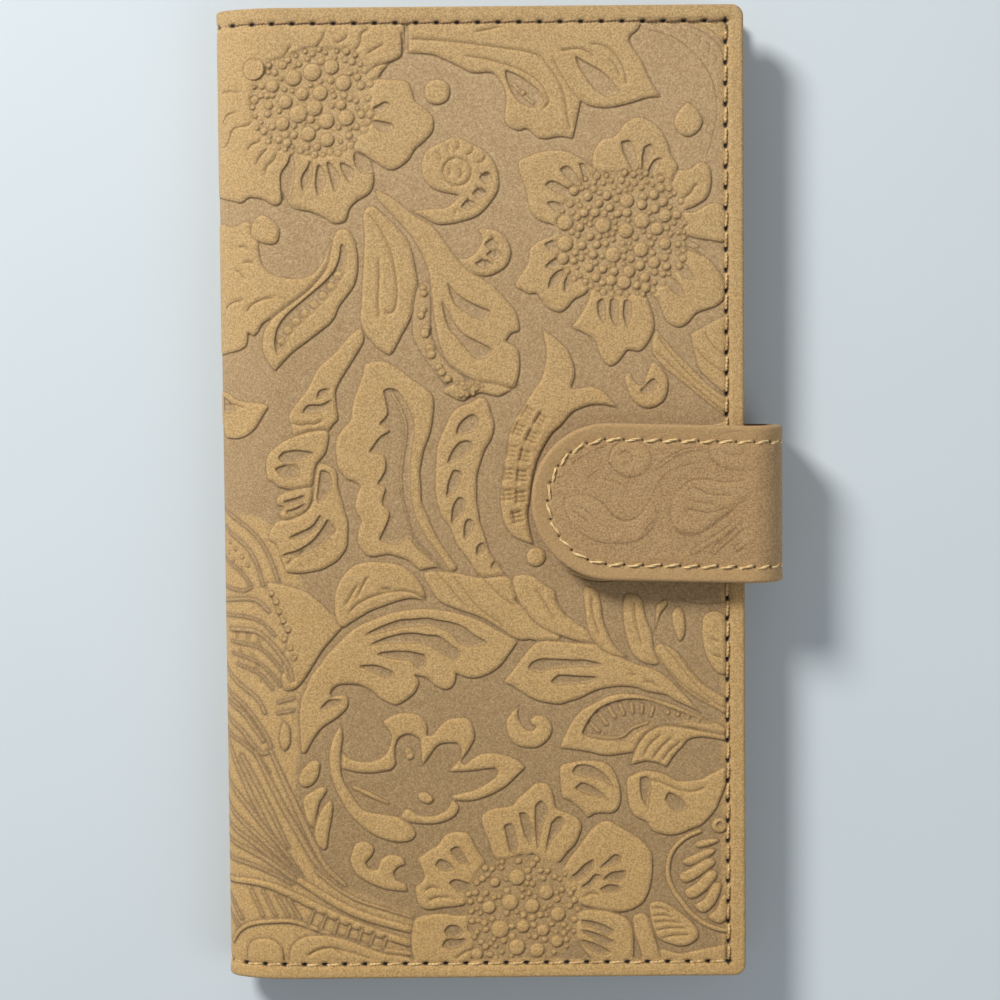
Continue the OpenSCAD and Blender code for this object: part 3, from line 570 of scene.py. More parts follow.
# The worn ornament on the tab, in the same way
TAB_PLAN = """
form: 563,497! 577,493 591,495 604,504 612,514 624,519 636,515 644,505 648,498! 655,512 650,528 634,540
604,542 580,532 566,514
form: 771,475! 752,478 735,481 719,482 703,479 690,480 680,486 671,497 668,510 670,522 676,530 686,533
699,532 709,525 722,515 739,502 755,490 771,482!
form: 706,447! 708,459 719,467 735,471 755,472 772,472! 772,438! 755,433 735,432 716,436
form: 607,462! 610,449 620,442 634,441 646,448 650,459 645,470 632,477 618,474
band 3.2: 691,551 709,540 722,532 735,522 755,509 770,500
band 3.2: 711,551 726,537 742,525 771,513
band 3: 734,548 755,535 771,527
band 2: 572,460 588,450 603,444
band 2: 655,468 668,458 684,451 700,449
cut: 651,492 656,483 665,473 678,467 692,463
cut: 712,446 721,441 734,445 745,454
cut: 745,454 727,455 717,450
cut: 708,458 719,467 737,471 770,472
cut: 684,491 690,487 698,490 708,494 731,495
cut: 686,499 697,502 713,504
cut: 683,514 687,509 697,511 709,512 725,507
cut: 672,530 680,534 690,535 701,531 711,525 724,515 740,502 756,490
cut: 693,547 709,537 722,528
cut: 715,546 727,534 742,522 756,516
cut: 737,543 756,532
cut: 616,456 623,451 630,455 629,462 621,465
cut: 609,462 613,469 622,475 633,476
cut: 564,498 577,494 591,496 604,505 612,515 624,520 636,516 645,505
cut: 568,508 578,513 586,521
cut: 572,504 583,508 592,516
cut: 643,531 647,524 656,519
cut 1: 538,494 549,495 560,492
cut 1: 540,482 552,478 566,474
cut 1: 541,508 552,512 561,518
cut 1: 548,464 560,458 572,450
cut 1: 600,478 612,480 622,484 628,480
cut 1: 585,478 596,470 603,468
"""

# The ornament: curves drawn one by one, turned into a height map
MAP_X, MAP_Y = 150, -6
MAP_W, MAP_H = 612, 1002
REACH = 16.0
FAR = 9.0
PIVOT_X, PIVOT_Y = 204.0, 490.0
MOAT_DEPTH = 0.18
MOAT_W = 1.7
LOW_RISE = 0.6
BEAD_TRIES = 60


def pts(text):
    """Points written as x,y pairs; a ! after a pair keeps it as a sharp corner."""
    out = []
    for word in text.split():
        x, y = word.rstrip("!").split(",")
        out.append((float(x), float(y), word.endswith("!")))
    return out


def spline(points, closed, step=3.0):
    """A smooth curve through the points, broken at its sharp corners."""
    p = [(x, y) for x, y, c in points]
    corner = [c for x, y, c in points]
    n = len(p)
    out = []
    for i in range(n if closed else n - 1):
        p1, p2 = p[i], p[(i + 1) % n]
        first = (i == 0 and not closed) or corner[i]
        last = (i == n - 2 and not closed) or corner[(i + 1) % n]
        p0 = p1 if first else p[i - 1]
        p3 = p2 if last else p[(i + 2) % n]
        count = max(1, int(math.dist(p1, p2) / step + 0.5))
        for k in range(count):
            t = k / count
            t2, t3 = t * t, t * t * t
            out.append(tuple(0.5 * (2 * b + (c - a) * t + (2 * a - 5 * b + 4 * c - d) * t2
                                    + (3 * b - a - 3 * c + d) * t3)
                             for a, b, c, d in zip(p0, p1, p2, p3)))
    if not closed:
        out.append(p[-1])
    return np.array(out)


def ease(t):
    """A soft step from 0 to 1."""
    t = np.clip(t, 0, 1)
    return t * t * (3 - 2 * t)


def distance(curve, x, y, closed):
    """Distance to the curve, how far along it the nearest place is, and whether inside it."""
    best = np.full(x.shape, REACH ** 2)
    along = np.zeros(x.shape)
    inside = np.zeros(x.shape, bool)
    left, top = x[0, 0], y[0, 0]
    pairs = list(zip(curve, np.roll(curve, -1, axis=0)))
    if not closed:
        pairs.pop()
    total = sum(math.dist(a, b) for a, b in pairs)
    gone = 0.0
    for (ax, ay), (bx, by) in pairs:
        size = math.hypot(bx - ax, by - ay)
        low, high = min(ay, by), max(ay, by)
        rows = slice(max(0, int(low - REACH - top)), max(0, int(high + REACH - top) + 2))
        cols = slice(max(0, int(min(ax, bx) - REACH - left)), max(0, int(max(ax, bx) + REACH - left) + 2))
        px, py = x[rows, cols], y[rows, cols]
        ux, uy = (bx - ax) / size, (by - ay) / size
        t = np.clip((px - ax) * ux + (py - ay) * uy, 0, size)
        d = (px - ax - t * ux) ** 2 + (py - ay - t * uy) ** 2
        near = d < best[rows, cols]
        best[rows, cols] = np.where(near, d, best[rows, cols])
        along[rows, cols] = np.where(near, (gone + t) / total, along[rows, cols])
        if closed and ay != by:
            rows = slice(max(0, int(low - top)), max(0, int(high - top) + 2))
            px, py = x[rows], y[rows]
            cross = (ay > py) != (by > py)
            inside[rows] ^= cross & (px < (bx - ax) * (py - ay) / (by - ay) + ax)
        gone += size
    return np.sqrt(best), along, inside


def goes_round(curve, x, y):
    """Whether a closed curve goes round a point."""
    ax, ay = curve.T
    bx, by = np.roll(curve, -1, axis=0).T
    hit = (ay > y) != (by > y)
    return np.sum(x < (bx - ax)[hit] * (y - ay[hit]) / (by - ay)[hit] + ax[hit]) % 2 == 1


class Relief:
    """Height from 0, ground, to 1, raised; how far a place is raised in colour; distance to an edge."""

    def __init__(self):
        self.h = np.zeros((MAP_H, MAP_W))
        self.tint = np.zeros((MAP_H, MAP_W))
        self.line = np.full((MAP_H, MAP_W), FAR)
        self.beads = []

    def view(self, curve, margin):
        """The part of the map round a curve, and the place of each of its points."""
        x0 = max(0, int(curve[:, 0].min() - margin) - MAP_X)
        x1 = min(MAP_W, int(curve[:, 0].max() + margin) + 2 - MAP_X)
        y0 = max(0, int(curve[:, 1].min() - margin) - MAP_Y)
        y1 = min(MAP_H, int(curve[:, 1].max() + margin) + 2 - MAP_Y)
        y, x = np.mgrid[y0:y1, x0:x1]
        return (slice(y0, y1), slice(x0, x1)), x + MAP_X, y + MAP_Y

    def patch(self, text, margin, step=3.0):
        """The part of the map round a closed curve, and the distance to the curve, positive inside."""
        curve = spline(pts(text), True, step)
        where, x, y = self.view(curve, margin)
        d, _, inside = distance(curve, x, y, True)
        return where, np.where(inside, d, -d)

    def stroke(self, text, margin, step=3.0):
        """The same for an open curve, with how far along it each point is, and the curve's length."""
        curve = spline(pts(text), False, step)
        where, x, y = self.view(curve, margin)
        d, along, _ = distance(curve, x, y, False)
        return where, d, along, np.hypot(*np.diff(curve, axis=0).T).sum()

    def lift(self, where, d, rise, bevel, crown):
        """A raised shape over what was drawn before, with a moat round it; d is positive inside."""
        h, tint, line = self.h[where], self.tint[where], self.line[where]
        edge = ease(d / bevel)
        pillow = 1 - np.exp(-np.clip(d, 0, None) / 6.0)
        top = rise * ((1 - crown) * edge + crown * pillow)
        moat = np.exp(-(np.clip(-d, 0, None) / MOAT_W) ** 2)
        self.h[where] = np.where(d > 0, top, h - (h + MOAT_DEPTH) * moat)
        self.tint[where] = np.where(d > 0, np.clip(rise * (0.35 + 0.65 * edge), 0, 1), tint * (1 - moat))
        self.line[where] = np.where(d > 0, np.abs(d), np.minimum(line, np.abs(d)))

    def form(self, text, rise=1.0, bevel=2.6, crown=0.16):
        """A raised shape inside a closed curve."""
        where, d = self.patch(text, 6)
        self.lift(where, d, rise, bevel, crown)

    def band(self, text, *widths, rise=1.0, bevel=2.4, crown=0.16):
        """A raised stroke along a curve; its half widths are spread evenly along it."""
        where, d, along, _ = self.stroke(text, max(widths) + 6)
        half = np.interp(along, np.linspace(0, 1, len(widths)), widths) if len(widths) > 1 else widths[0]
        self.lift(where, half - d, rise, bevel, crown)

    def low(self, text, *widths):
        """A band that lies lower."""
        self.band(text, *widths, rise=LOW_RISE)

    def cut(self, text, width=1.7, depth=0.75):
        """A sharp groove that thins out at both ends."""
        where, d, along, length = self.stroke(text, 5, 2.0)
        taper = np.clip(np.minimum(along, 1 - along) * length / 5 + 0.45, 0, 1)
        w = width * taper
        self.h[where] -= depth * np.clip(1 - (d / w) ** 2, 0, 1) * (self.h[where] + 0.25)
        self.line[where] = np.minimum(self.line[where], d + (1 - taper) * 1.2)

    def sink(self, text, to=0.06, soft=1.6):
        """Lowers a closed patch inside a raised form."""
        where, d = self.patch(text, 4, 2.0)
        d = d + 0.5
        fall = ease(d / soft + 0.35)
        self.h[where] += (to - self.h[where]) * fall
        self.tint[where] *= 1 - 0.9 * fall
        self.line[where] = np.minimum(self.line[where], np.abs(d))

    def dip(self, text, to=0.1, soft=5.0):
        """Lowers a closed patch gently, without an edge line."""
        where, d = self.patch(text, soft + 2)
        fall = ease(d / soft + 0.5)
        self.h[where] += (to - self.h[where]) * fall
        self.tint[where] += (0.45 - self.tint[where]) * fall * 0.8
        self.line[where] = self.line[where] + FAR * fall

    def wash(self, text, value=0.9, soft=8.0):
        """Colours a closed patch as raised or as ground, and leaves its height alone."""
        where, d = self.patch(text, soft + 2)
        self.tint[where] += (value - self.tint[where]) * np.clip(d / soft + 0.5, 0, 1)

    def dome(self, cx, cy, r, rise):
        """A small round bead on whatever lies under it."""
        self.beads.append((cx, cy, r))
        where, x, y = self.view(np.array([[cx - r, cy - r], [cx + r, cy + r]]), 3)
        d = np.hypot(x - cx, y - cy)
        h, line = self.h[where], self.line[where]
        low = float(np.median(h)) - 0.22
        ball = np.sqrt(np.clip(1 - (d / r) ** 2, 0, 1))
        moat = np.exp(-(np.clip(d - r, 0, None) / 1.1) ** 2)
        self.h[where] = np.where(d < r, low + (rise + 0.1) * ball ** 0.8, h + (np.minimum(h, low) - h) * moat)
        own = np.where(d < r, 0.35 + 0.6 * ball, 0)
        self.tint[where] = np.maximum(self.tint[where] * (1 - 0.3 * moat), own)
        self.line[where] = np.where(d < r, r - d, np.minimum(line, d - r))

    def domes(self, text, rise=0.5):
        """Beads written as x,y,radius."""
        for word in text.split():
            self.dome(*map(float, word.split(",")), rise)

    def scatter(self, text, r0, r1, count, seed):
        """Small beads thrown at random into a closed patch, clear of the beads already there."""
        curve = spline(pts(text), True)
        rng = random.Random(int(seed))
        x0, y0 = curve.min(axis=0)
        x1, y1 = curve.max(axis=0)
        made = 0
        for _ in range(int(count) * BEAD_TRIES):
            if made >= count:
                break
            x, y, r = rng.uniform(x0, x1), rng.uniform(y0, y1), rng.uniform(r0, r1)
            clear = all(math.hypot(x - a, y - b) > (r + c) * 0.98 for a, b, c in self.beads)
            if clear and goes_round(curve, x, y):
                self.dome(x, y, r, 0.75)
                made += 1

    def stamps(self, text, reach=4.5):
        """Small comb-shaped punch marks: three short strokes joined by a fourth, written as x,y,turn."""
        strokes = [((-reach * 1.5, k), (reach * 1.3, k)) for k in (-reach, 0.0, reach)]
        strokes.append(((-reach * 0.9, -reach * 1.8), (-reach * 0.9, reach * 1.8)))
        for spot in text.split():
            x, y, turn = map(float, spot.split(","))
            ca, sa = math.cos(math.radians(turn)), math.sin(math.radians(turn))
            for ends in strokes:
                spots = ["%g,%g" % (x + u * ca - v * sa, y + u * sa + v * ca) for u, v in ends]
                self.cut(" ".join(spots), 1.7, 1.0)

    def draw(self, plan):
        """Draws a plan: one mark to a line, as its kind, its numbers and its points; a long mark runs on."""
        marks = []
        for row in plan.strip().splitlines():
            if ":" in row:
                marks.append(row)
            else:
                marks[-1] += " " + row
        for row in marks:
            head, _, text = row.partition(":")
            kind, *numbers = head.split()
            getattr(self, kind)(text, *map(float, numbers))


def smooth(a, times):
    """A light blur, to take the steps out of the map."""
    for _ in range(times):
        a = (a + np.roll(a, 1, 0) + np.roll(a, -1, 0)) / 3
        a = (a + np.roll(a, 1, 1) + np.roll(a, -1, 1)) / 3
    return a


def sample(grid, x, y):
    """Reads a map between its points."""
    x = np.clip(x - MAP_X, 0, MAP_W - 1.001)
    y = np.clip(y - MAP_Y, 0, MAP_H - 1.001)
    i, j = x.astype(int), y.astype(int)
    u, v = x - i, y - j
    top = grid[j, i] * (1 - u) + grid[j, i + 1] * u
    low = grid[j + 1, i] * (1 - u) + grid[j + 1, i + 1] * u
    return top * (1 - v) + low * v


# Meshes of the sheets
RELIEF = 0.38
LIGHT_X, LIGHT_Y = 0.6, 0.8
EDGE_ROUND = 0.5
LINING_ROUND = 0.2
GROOVE_DEPTH = 0.16
GROOVE_W = 0.75
HOLE_DEPTH = 0.6
HOLE_R = 0.42
CALM_FROM, CALM_OVER = 2.0, 1.4
SPINE_FROM, SPINE_OVER = 3.0, 5.0
SPINE_RELIEF = 0.35
DEEPEST = LEATHER_T * 0.8


def lay_map():
    """Draws the ornament once, and finds the sides of its forms that face away from the light, which the
    cover's colour darkens as painted shadow.
    """
    r = Relief()
    r.draw(PLAN)
    r.h = smooth(r.h, 1)
    r.tint = smooth(r.tint, 2)
    slope_y, slope_x = np.gradient(smooth(r.h, 1))
    return r, smooth(np.clip(-(LIGHT_X * slope_x + LIGHT_Y * slope_y) * 3.0, 0, 1), 1)


relief, lee = lay_map()


def ornament(xd, y):
    """Height, tint, distance to an edge and lee side of the ornament; the back has it turned half round."""
    nearer = 1 - (y - COVER_AT_Y) * DRAW_TILT
    u = (xd - COVER_AT_X) * UNIT / nearer
    v = (y - COVER_AT_Y) * UNIT / nearer
    px = DRAW_X + u - v * DRAW_TURN
    py = DRAW_Y - v - u * DRAW_TURN
    back = px < PIVOT_X
    px = np.where(back, 2 * PIVOT_X - px, px)
    py = np.where(back, 2 * PIVOT_Y - py, py)
    return [sample(g, px, py) for g in (relief.h, relief.tint, relief.line, lee)]


def make_mesh(name, verts, quads, rings=(), smooth_quads=True):
    """A mesh from points in mm, an array of quads and a few larger flat faces."""
    mesh = bpy.data.meshes.new(name)
    verts = np.asarray(verts, float) * MM
    quads = np.asarray(quads, int)
    mesh.vertices.add(len(verts))
    mesh.vertices.foreach_set("co", verts.ravel())
    sizes = np.array([4] * len(quads) + [len(r) for r in rings])
    mesh.loops.add(int(sizes.sum()))
    corners = np.concatenate([quads.ravel()] + [np.asarray(r, int) for r in rings])
    mesh.loops.foreach_set("vertex_index", corners)
    mesh.polygons.add(len(sizes))
    mesh.polygons.foreach_set("loop_start", np.concatenate([[0], np.cumsum(sizes)[:-1]]))
    mesh.polygons.foreach_set("loop_total", sizes)
    flags = np.zeros(len(sizes), bool)
    flags[:len(quads)] = smooth_quads
    mesh.polygons.foreach_set("use_smooth", flags)
    mesh.update(calc_edges=True)
    mesh.validate()
    obj = bpy.data.objects.new(name, mesh)
    bpy.context.scene.collection.objects.link(obj)
    return obj


def mark(obj, name, values):
    """Stores one number for each point, which the materials read."""
    a = obj.data.attributes.new(name, "FLOAT", "POINT")
    a.data.foreach_set("value", np.asarray(values, np.float32))


def steps(a, b, pitch):
    """Places from a to b, no further apart than the pitch."""
    return np.linspace(a, b, max(1, int(math.ceil(abs(b - a) / pitch))) + 1)


def slab(name, top, sides, flip, marks):
    """A closed sheet from its upper grid and the two long edges of its lower face.

    The top's first and last rows are there twice, for sharp end walls. A mark has its values on the grid, and
    one value for all other points."""
    nu, nv = top.shape[:2]
    ids = np.arange(nu * nv).reshape(nu, nv)
    first = nu * nv + 2 * np.arange(nu)
    last = first + 1
    start = nu * nv + 2 * nu + np.arange(nv)
    end = start[::-1] + nv
    quads = np.concatenate([
        np.stack([ids[:-1, :-1], ids[1:, :-1], ids[1:, 1:], ids[:-1, 1:]], -1).reshape(-1, 4),
        np.stack([ids[1:, 0], ids[:-1, 0], first[:-1], first[1:]], -1),
        np.stack([ids[:-1, -1], ids[1:, -1], last[1:], last[:-1]], -1),
        np.stack([first[:-1], last[:-1], last[1:], first[1:]], -1)])
    rings = [list(start) + [last[0], first[0]], list(end) + [first[-1], last[-1]]]
    smooth_quads = np.arange(len(quads)) < (nu - 1) * (nv - 1)
    if flip:
        quads, rings = quads[:, ::-1], [r[::-1] for r in rings]
    low = np.concatenate([np.stack(sides, 1).reshape(-1, 3), top[0], top[-1]])
    obj = make_mesh(name, np.concatenate([top.reshape(-1, 3), low]), quads, rings, smooth_quads)
    for key, (values, rest) in marks.items():
        mark(obj, key, np.concatenate([values.ravel(), np.full(len(low), rest)]))
    return obj


def laid(name, face, q, y, depth, under, flip, marks):
    """A sheet that follows a face: at a depth below it over a grid, and at one depth on its far side."""
    x, z, nx, nz = face(q)
    top = np.stack([x - depth * nx, y, z - depth * nz], -1)
    x, z, nx, nz = face(q[:, 0])
    sides = [np.stack([x - under * nx, edge, z - under * nz], -1) for edge in (y[:, 0], y[:, -1])]
    return slab(name, top, sides, flip, marks)


def rim(x_fore, y):
    """Distance from the sheet's outline, with its two round corners."""
    qx = np.maximum(CORNER_R - x_fore, 0)
    qy = np.maximum(np.abs(y) - (HALF_L - CORNER_R), 0)
    inner = np.minimum(x_fore, HALF_L - np.abs(y))
    return np.where((qx > 0) & (qy > 0), CORNER_R - np.hypot(qx, qy), inner)


def half_length(x_fore):
    """Half the sheet's length where it is x_fore mm from the fore-edge; the corners are round."""
    c = np.clip(CORNER_R - x_fore, 0, CORNER_R)
    return HALF_L - CORNER_R + np.sqrt(np.clip(CORNER_R ** 2 - c ** 2, 0, None))


def shoulder_drop(b, r):
    """How far a rounded edge falls at distance b from it."""
    c = np.clip(r - b, 0, r)
    return r - np.sqrt(np.clip(r * r - c * c, 0, None))


def sheet_grid(a, b, pitch, across):
    """A stretch's grid of places and their distance from the outline; closer together at a fore-edge."""
    x = steps(a, b, pitch)
    near = np.array([0.0, 0.04, 0.08, 0.15, 0.24, 0.35, 0.5, 0.7])
    if b == FORE_X:
        x = np.concatenate([x[x < b - 0.75], b - near[::-1]])
    if a == BACK_END:
        x = np.concatenate([a + near, x[x > a + 0.75]])
    x_fore = np.minimum(FORE_X - x, x - BACK_END)
    y = half_length(x_fore)[:, None] * across[None, :]
    return np.repeat(x[:, None], len(across), 1), y, rim(x_fore[:, None], y)


def outer_skin(name, a, b, pitch):
    """A stretch of the tooled outer leather between two places along the sheet."""
    edge = np.array([0.0, 0.05, 0.1, 0.18, 0.28, 0.4, 0.55, 0.75, 1.0])
    across = np.concatenate([-HALF_L + edge, steps(-HALF_L + 1.2, HALF_L - 1.2, pitch), HALF_L - edge[::-1]])
    xd, y, b_in = sheet_grid(a, b, pitch, np.unique(np.round(across / HALF_L, 6)))
    h, tint, line, side = ornament(xd, y)
    calm = np.clip((b_in - CALM_FROM) / CALM_OVER, 0, 1)
    off_spine = np.clip((np.abs(xd - SPINE_MID) - SPINE_FROM) / SPINE_OVER, 0, 1)
    depth = RELIEF * (1 - np.clip(h, -0.3, 1.05)) * calm * (SPINE_RELIEF + (1 - SPINE_RELIEF) * off_spine)
    seam, hole = seam_marks(xd, y)
    depth = depth + GROOVE_DEPTH * np.exp(-(seam / GROOVE_W) ** 2)
    depth = depth + HOLE_DEPTH * np.exp(-(hole / HOLE_R) ** 2)
    depth = np.clip(depth, 0.0, DEEPEST)
    inward = np.clip(b_in / EDGE_ROUND, 0, 1)
    depth = np.maximum(depth, shoulder_drop(b_in, EDGE_ROUND) + depth * inward * 0.6)
    return laid(name, place, xd, y, depth, LEATHER_T, False, {
        "tint": (0.8 + (tint - 0.8) * calm, 0.4), "line": (line + 4 * (1 - calm), FAR), "lee": (side, 0),
        "hole": (hole, FAR), "rim": (b_in, 0)})


def plain_sheet(name, a, b, pitch):
    """A stretch of the lining."""
    edge = np.array([0.0, 0.15, 0.4])
    across = np.concatenate([-HALF_L + edge, steps(-HALF_L + 1.5, HALF_L - 1.5, pitch), HALF_L - edge[::-1]])
    xd, y, b_in = sheet_grid(a, b, pitch, across / HALF_L)
    depth = WALL_T - shoulder_drop(b_in, LINING_ROUND)
    return laid(name, place, xd, y, depth, LEATHER_T, True, {"rim": (b_in, 0)})


# Sewing: where the seams run
SEAM_HIGH = HALF_L - 2.7
SEAM_LOW = -HALF_L + 2.5
SEAM_RIGHT = FORE_X - 3.0
SEAM_LEFT = BACK_END + 3.0
PITCH = 3.45
HOLE_ALONG, HOLE_ACROSS = 0.7, 1.3
FORE_STITCH_DEPTH, LONG_STITCH_DEPTH = 0.06, 0.17
UNDER_TAB_REACH, UNDER_TAB_SLACK = 10, 0.6
STITCH_INSET = 0.16
END_INSET = 0.6
STITCH_SKEW = 0.1
HOLE_DIP = 0.18 * 2.2
PLY_SPREAD, PLY_R, PLY_THINNER = 0.52, 0.62, 0.2
THREAD_SIDES, THREAD_STEPS = 6, 14
# Radius, twists and lift of each thread
SEAM_THREAD = (0.19, 2.0, 0.02)
TAB_THREAD = (0.2, 0.8, 0.1)


def seam_path():
    """Stitch ends along the sheet: the top, the bottom, and the fore-edges of the front and of the back."""
    front_high, back_high = (SEAM_RIGHT, SEAM_HIGH), (SEAM_LEFT, SEAM_HIGH)
    front_low, back_low = (SEAM_RIGHT, SEAM_LOW), (SEAM_LEFT, SEAM_LOW)
    runs = []
    for a, b in ((front_high, back_high), (front_low, back_low),
                 (front_high, front_low), (back_high, back_low)):
        t = np.linspace(0, 1, round(math.dist(a, b) / PITCH) + 1)
        runs.append(np.stack([a[0] + (b[0] - a[0]) * t, a[1] + (b[1] - a[1]) * t], -1))
    return runs


SEAM = seam_path()


def seam_marks(xd, y):
    """Distance to the seam's line and to its nearest hole, as arrays."""
    line = np.full(xd.shape, FAR)
    hole = np.full(xd.shape, FAR)
    over_x = np.clip(np.maximum(SEAM_LEFT - xd, xd - SEAM_RIGHT), 0, None)
    over_y = np.clip(np.maximum(SEAM_LOW - y, y - SEAM_HIGH), 0, None)
    for at, run in ((SEAM_HIGH, SEAM[0]), (SEAM_LOW, SEAM[1])):
        line = np.minimum(line, np.hypot(y - at, over_x))
        gap = abs(run[1, 0] - run[0, 0])
        k = np.clip(np.round((SEAM_RIGHT - xd) / gap), 0, len(run) - 1)
        hole = np.minimum(hole, np.hypot((xd - (SEAM_RIGHT - k * gap)) * HOLE_ALONG, (y - at) * HOLE_ACROSS))
    for at, run in ((SEAM_RIGHT, SEAM[2]), (SEAM_LEFT, SEAM[3])):
        line = np.minimum(line, np.hypot(xd - at, over_y))
        gap = abs(run[1, 1] - run[0, 1])
        k = np.clip(np.round((SEAM_HIGH - y) / gap), 0, len(run) - 1)
        hole = np.minimum(hole, np.hypot((xd - at) * HOLE_ACROSS, (y - (SEAM_HIGH - k * gap)) * HOLE_ALONG))
    return line, hole


def thread(name, ends, normals, radius, twists, lift):
    """Stitches as two twisted plies each, between pairs of points; each dips into its holes."""
    verts, quads = [], []
    for (a, b), (na, nb) in zip(ends, normals):
        a, b = Vector(a), Vector(b)
        up = (Vector(na) + Vector(nb)).normalized()
        run = b - a
        side = up.cross(run.normalized())
        turn0 = rng.uniform(0, math.pi)
        sway = rng.uniform(-0.08, 0.08)
        for ply in (0, math.pi):
            first = len(verts)
            for i in range(THREAD_STEPS + 1):
                t = i / THREAD_STEPS
                dip = (abs(2 * t - 1)) ** 4
                centre = a + run * t + up * (lift - HOLE_DIP * dip) + side * sway * math.sin(math.pi * t)
                turn = turn0 + ply + twists * 2 * math.pi * t
                centre = centre + (side * math.cos(turn) + up * math.sin(turn)) * radius * PLY_SPREAD
                fat = radius * (PLY_R - PLY_THINNER * dip)
                for s in range(THREAD_SIDES):
                    w = 2 * math.pi * s / THREAD_SIDES
                    verts.append(centre + (side * math.cos(w) + up * math.sin(w)) * fat)
            for i in range(THREAD_STEPS):
                for s in range(THREAD_SIDES):
                    p = first + i * THREAD_SIDES
                    n = (s + 1) % THREAD_SIDES
                    quads.append((p + s, p + n, p + THREAD_SIDES + n, p + THREAD_SIDES + s))
    return make_mesh(name, [tuple(v) for v in verts], quads)


SPANS = [("back", BACK_END, BACK_FLAT, ("back",)),
         ("spine_fold_1", BACK_FLAT, EDGE_BACK, ("back", "spine_back")),
         ("spine_fold_2", EDGE_BACK, SPINE_MID, ("spine_back", "spine_middle")),
         ("spine_fold_3", SPINE_MID, EDGE_FRONT, ("spine_middle", "spine_front")),
         ("spine_fold_4", EDGE_FRONT, SHOULDER_X, ("spine_front", "front")),
         ("front", SHOULDER_X, FORE_X, ("front",))]


def attach(obj, face, span):
    """Rides on its body when it has one; a stretch between two bodies only has its transform baked in, and
    does not bend.
    """
    _, a, b, bodies = span
    if len(bodies) == 1:
        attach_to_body(obj, bodies[0])
        return obj
    for q in (a, b):
        x, z, nx, nz = face(q)
    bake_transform(obj)
    return obj


rng = random.Random(7)
covers, linings = [], []
SKIN_PITCH = 0.2
BACK_COARSER = 1.3
LINING_FLAT_PITCH, LINING_BEND_PITCH = 2.5, 0.7
for i, span in enumerate(SPANS):
    name, a, b, bodies = span
    pitch = SKIN_PITCH if i > 2 else SKIN_PITCH * BACK_COARSER
    covers.append(attach(outer_skin("leather_" + name, a, b, pitch), place, span))
    pitch = LINING_FLAT_PITCH if len(bodies) == 1 else LINING_BEND_PITCH
    linings.append(attach(plain_sheet("lining_" + name, a, b, pitch), place, span))
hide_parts("back_cover_leather")
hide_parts("spine_leather_back")
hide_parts("spine_leather_middle")
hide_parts("spine_leather_front")
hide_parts("front_cover_leather")
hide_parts("back_lining")
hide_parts("spine_lining_back")
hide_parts("spine_lining_middle")
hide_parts("spine_lining_front")
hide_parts("front_lining")

MOUTH = FORE_X - POCKET_D


def inside_depth(x, y):
    """How far the inside lies below the outer face, over the pockets and the card slots."""
    on_panel = x > MOUTH or x < BACK_END + POCKET_D
    slots = sum(x > MOUTH + CARD_INSET + k * CARD_STEP for k in range(3)) if y > HALF_L - CARD_W else 0
    return WALL_T + (PANEL_T if on_panel else 0.0) + slots * SLOT_T


def seam_stitches(face, low_x, high_x):
    """Ends and normals of the seam's stitches on one stretch; none where the tab crosses the back's edge."""
    ends, normals = [], []
    for run in SEAM:
        fore_run = abs(run[0, 0] - run[-1, 0]) < 1e-6
        for (x0, y0), (x1, y1) in zip(run[:-1], run[1:]):
            x, y = (x0 + x1) / 2, (y0 + y1) / 2
            under_tab = abs(y - TAB_Y) < TAB_W / 2 - UNDER_TAB_SLACK and x < BACK_END + UNDER_TAB_REACH
            if not low_x <= x < high_x or fore_run and under_tab:
                continue
            pa = place(x0 + (x1 - x0) * STITCH_INSET)
            pb = place(x1 + (x0 - x1) * STITCH_INSET * END_INSET)
            ya, yb = y0 + (y1 - y0) * STITCH_INSET, y1 + (y0 - y1) * STITCH_INSET * END_INSET
            if face == "outer":
                depth, sign = FORE_STITCH_DEPTH if fore_run else LONG_STITCH_DEPTH, 1
            else:
                depth, sign = inside_depth(x, y), -1
            across, along = (STITCH_SKEW, 0.0) if fore_run else (0.0, STITCH_SKEW)
            ends.append(((pa[0] - depth * pa[2] + across, ya + along, pa[1] - depth * pa[3]),
                         (pb[0] - depth * pb[2] - across, yb - along, pb[1] - depth * pb[3])))
            normals.append(((sign * pa[2], 0, sign * pa[3]), (sign * pb[2], 0, sign * pb[3])))
    return ends, normals


stitches = []
for span in SPANS:
    for face in ("outer", "inner"):
        ends, normals = seam_stitches(face, span[1], span[2])
        if ends:
            obj = thread("seam_" + face + "_" + span[0], ends, normals, *SEAM_THREAD)
            stitches.append(attach(obj, place, span))


# Pockets
PANEL_ROUND = 0.22
CREASE_AT, CREASE_W, CREASE_DEPTH = 1.7, 0.22, 0.16


